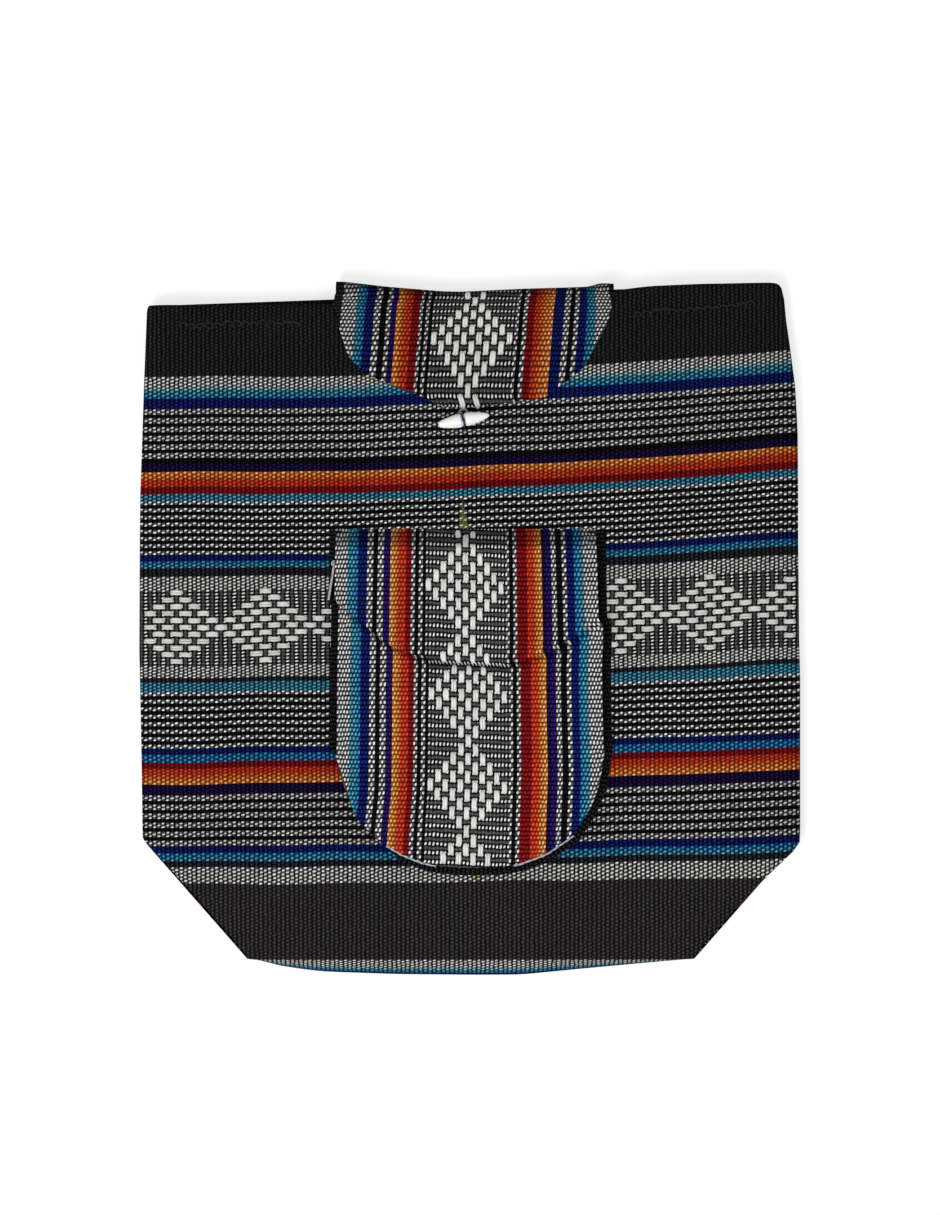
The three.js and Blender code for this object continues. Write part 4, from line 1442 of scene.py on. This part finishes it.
def make_haul_loop():
    low, high = box_mm("haul_loop")
    x, _, z = (low + high) / 2
    bend_y = low[1] + HAUL_WIDTH / 2 + HAUL_HALF
    angles = np.linspace(math.pi, FULL_TURN, 28)
    arc = np.column_stack([x + HAUL_HALF * np.cos(angles), bend_y + HAUL_HALF * np.sin(angles)])
    left = np.column_stack([np.full(10, x - HAUL_HALF), np.linspace(high[1] - 0.5, bend_y + 1.5, 10)])
    plan = np.concatenate([left, arc, left[::-1] + (2 * HAUL_HALF, 0)])
    centres = np.column_stack([plan, np.full(len(plan), z)])
    sides = beside(np.gradient(centres, axis=0))
    piece = make_band("haul_loop_web", centres, sides, HAUL_WIDTH, "haul_loop")


# Hand stitching of the mouth's hem: uneven black loops.

HEM_STITCHES = (
    (177, 303, 324.5, 324.0, 2.2), (188, 214, 329.0, 328.5, 1.2), (632, 753, 314.6, 304.0, 2.4),
)
STITCH_PITCH_PX = 8.6
STITCH_THREAD = 0.62


def make_hem_stitches():
    random = np.random.default_rng(SEED + 40)
    paths = []
    for left, right, left_y, right_y, tall in HEM_STITCHES:
        x = np.arange(left, right, 0.8)
        knots = np.arange(left, right + STITCH_PITCH_PX, STITCH_PITCH_PX)
        height = np.interp(x, knots, random.uniform(0.2, 1.7, len(knots)))
        stray = np.interp(x, knots, random.uniform(-1.6, 1.6, len(knots)))
        phase = (x - left) / STITCH_PITCH_PX * FULL_TURN + stray
        middle = left_y + (right_y - left_y) * (x - left) / (right - left)
        y = middle + tall * height * np.sin(phase) + 0.6 * stray
        x = x + 1.8 * height * np.cos(phase)
        paths.append(at_mm(x, y, front_height(x, y) + 0.2 + 0.35 * np.cos(phase)))
    dress(tubes("hem_stitches", paths, STITCH_THREAD, BLACK_THREAD), None)


# Stage.

WORLD_LIGHT = 0.45
FLOOR_HALF = 4000.0
FLOOR_MATT = (0.42, 0.42, 0.42, 1)
FLOOR_GLOW = (0.68, 0.68, 0.68, 1)
LAMPS = (("key_lamp", (-0.9, -1.4, 2.4), 1.2, 51.0), ("fill_lamp", (1.6, 1.0, 2.4), 1.6, 8.0))


def make_camera():
    camera = bpy.data.objects.new("camera", bpy.data.cameras.new("camera"))
    bpy.context.scene.collection.objects.link(camera)
    camera.data.lens = 150.0
    camera.data.sensor_fit = "VERTICAL"
    camera.data.sensor_height = 36.0
    camera.data.clip_end = 20
    distance = IMAGE_HEIGHT * PX * camera.data.lens / camera.data.sensor_height
    camera.location = (0, y_mm(IMAGE_HEIGHT / 2) * MM, (distance + FRONT_Z) * MM)
    bpy.context.scene.camera = camera


def make_lamp(name, place, size, power):
    lamp = bpy.data.objects.new(name, bpy.data.lights.new(name, "AREA"))
    bpy.context.scene.collection.objects.link(lamp)
    lamp.data.shape = "SQUARE"
    lamp.data.size = size
    lamp.data.energy = power
    lamp.location = place
    lamp.rotation_mode = "QUATERNION"
    lamp.rotation_quaternion = (-lamp.location).to_track_quat("-Z", "Y")


def seen_directly(n):
    """1 for rays that see the surface straight, in a mirror or through glass."""
    rays = n.node("LightPath").outputs
    straight = n.math("MAXIMUM", rays["Is Camera Ray"], rays["Is Glossy Ray"])
    return n.math("MAXIMUM", straight, rays["Is Transmission Ray"])


def make_world():
    n = Nodes(bpy.data.worlds.new("studio"))
    bpy.context.scene.world = n.block
    white = (1, 1, 1, 1)
    lit = n.node("Background", white, WORLD_LIGHT).outputs[0]
    plain = n.node("Background", white, 1.0).outputs[0]
    mix = n.node("MixShader", seen_directly(n), lit, plain)
    n.put(n.tree.nodes["World Output"].inputs["Surface"], mix.outputs[0])


def make_floor():
    n = Nodes(bpy.data.materials.new("pale_floor"))
    matt = n.node("BsdfDiffuse", FLOOR_MATT).outputs[0]
    glow = n.node("Emission", FLOOR_GLOW, seen_directly(n)).outputs[0]
    both = n.node("AddShader", matt, glow)
    n.put(n.tree.nodes["Material Output"].inputs["Surface"], both.outputs[0])
    corners = [(-FLOOR_HALF, FLOOR_HALF, 0), (-FLOOR_HALF, -FLOOR_HALF, 0)]
    corners += [(FLOOR_HALF, -FLOOR_HALF, 0), (FLOOR_HALF, FLOOR_HALF, 0)]
    new_object("floor", corners, [(0, 1, 2, 3)], n.block)


make_camera()
make_world()
make_floor()
for lamp in LAMPS:
    make_lamp(*lamp)
make_front()
make_back()
make_base()
make_flap()
make_panel()
make_gusset()
make_seam_line()
make_all_floats()
make_toggle()
make_toggle_thread()
make_flap_loop()
make_coil("zip_teeth_lower", "zip_coil_lower")
make_coil("zip_teeth_upper", "zip_coil_upper")
finish_metal()
make_strap("strap_left_web", "strap_left", -1)
make_strap("strap_right_web", "strap_right", 1)
make_haul_loop()
make_hem_stitches()

scene = bpy.context.scene
scene.view_settings.view_transform = "Standard"
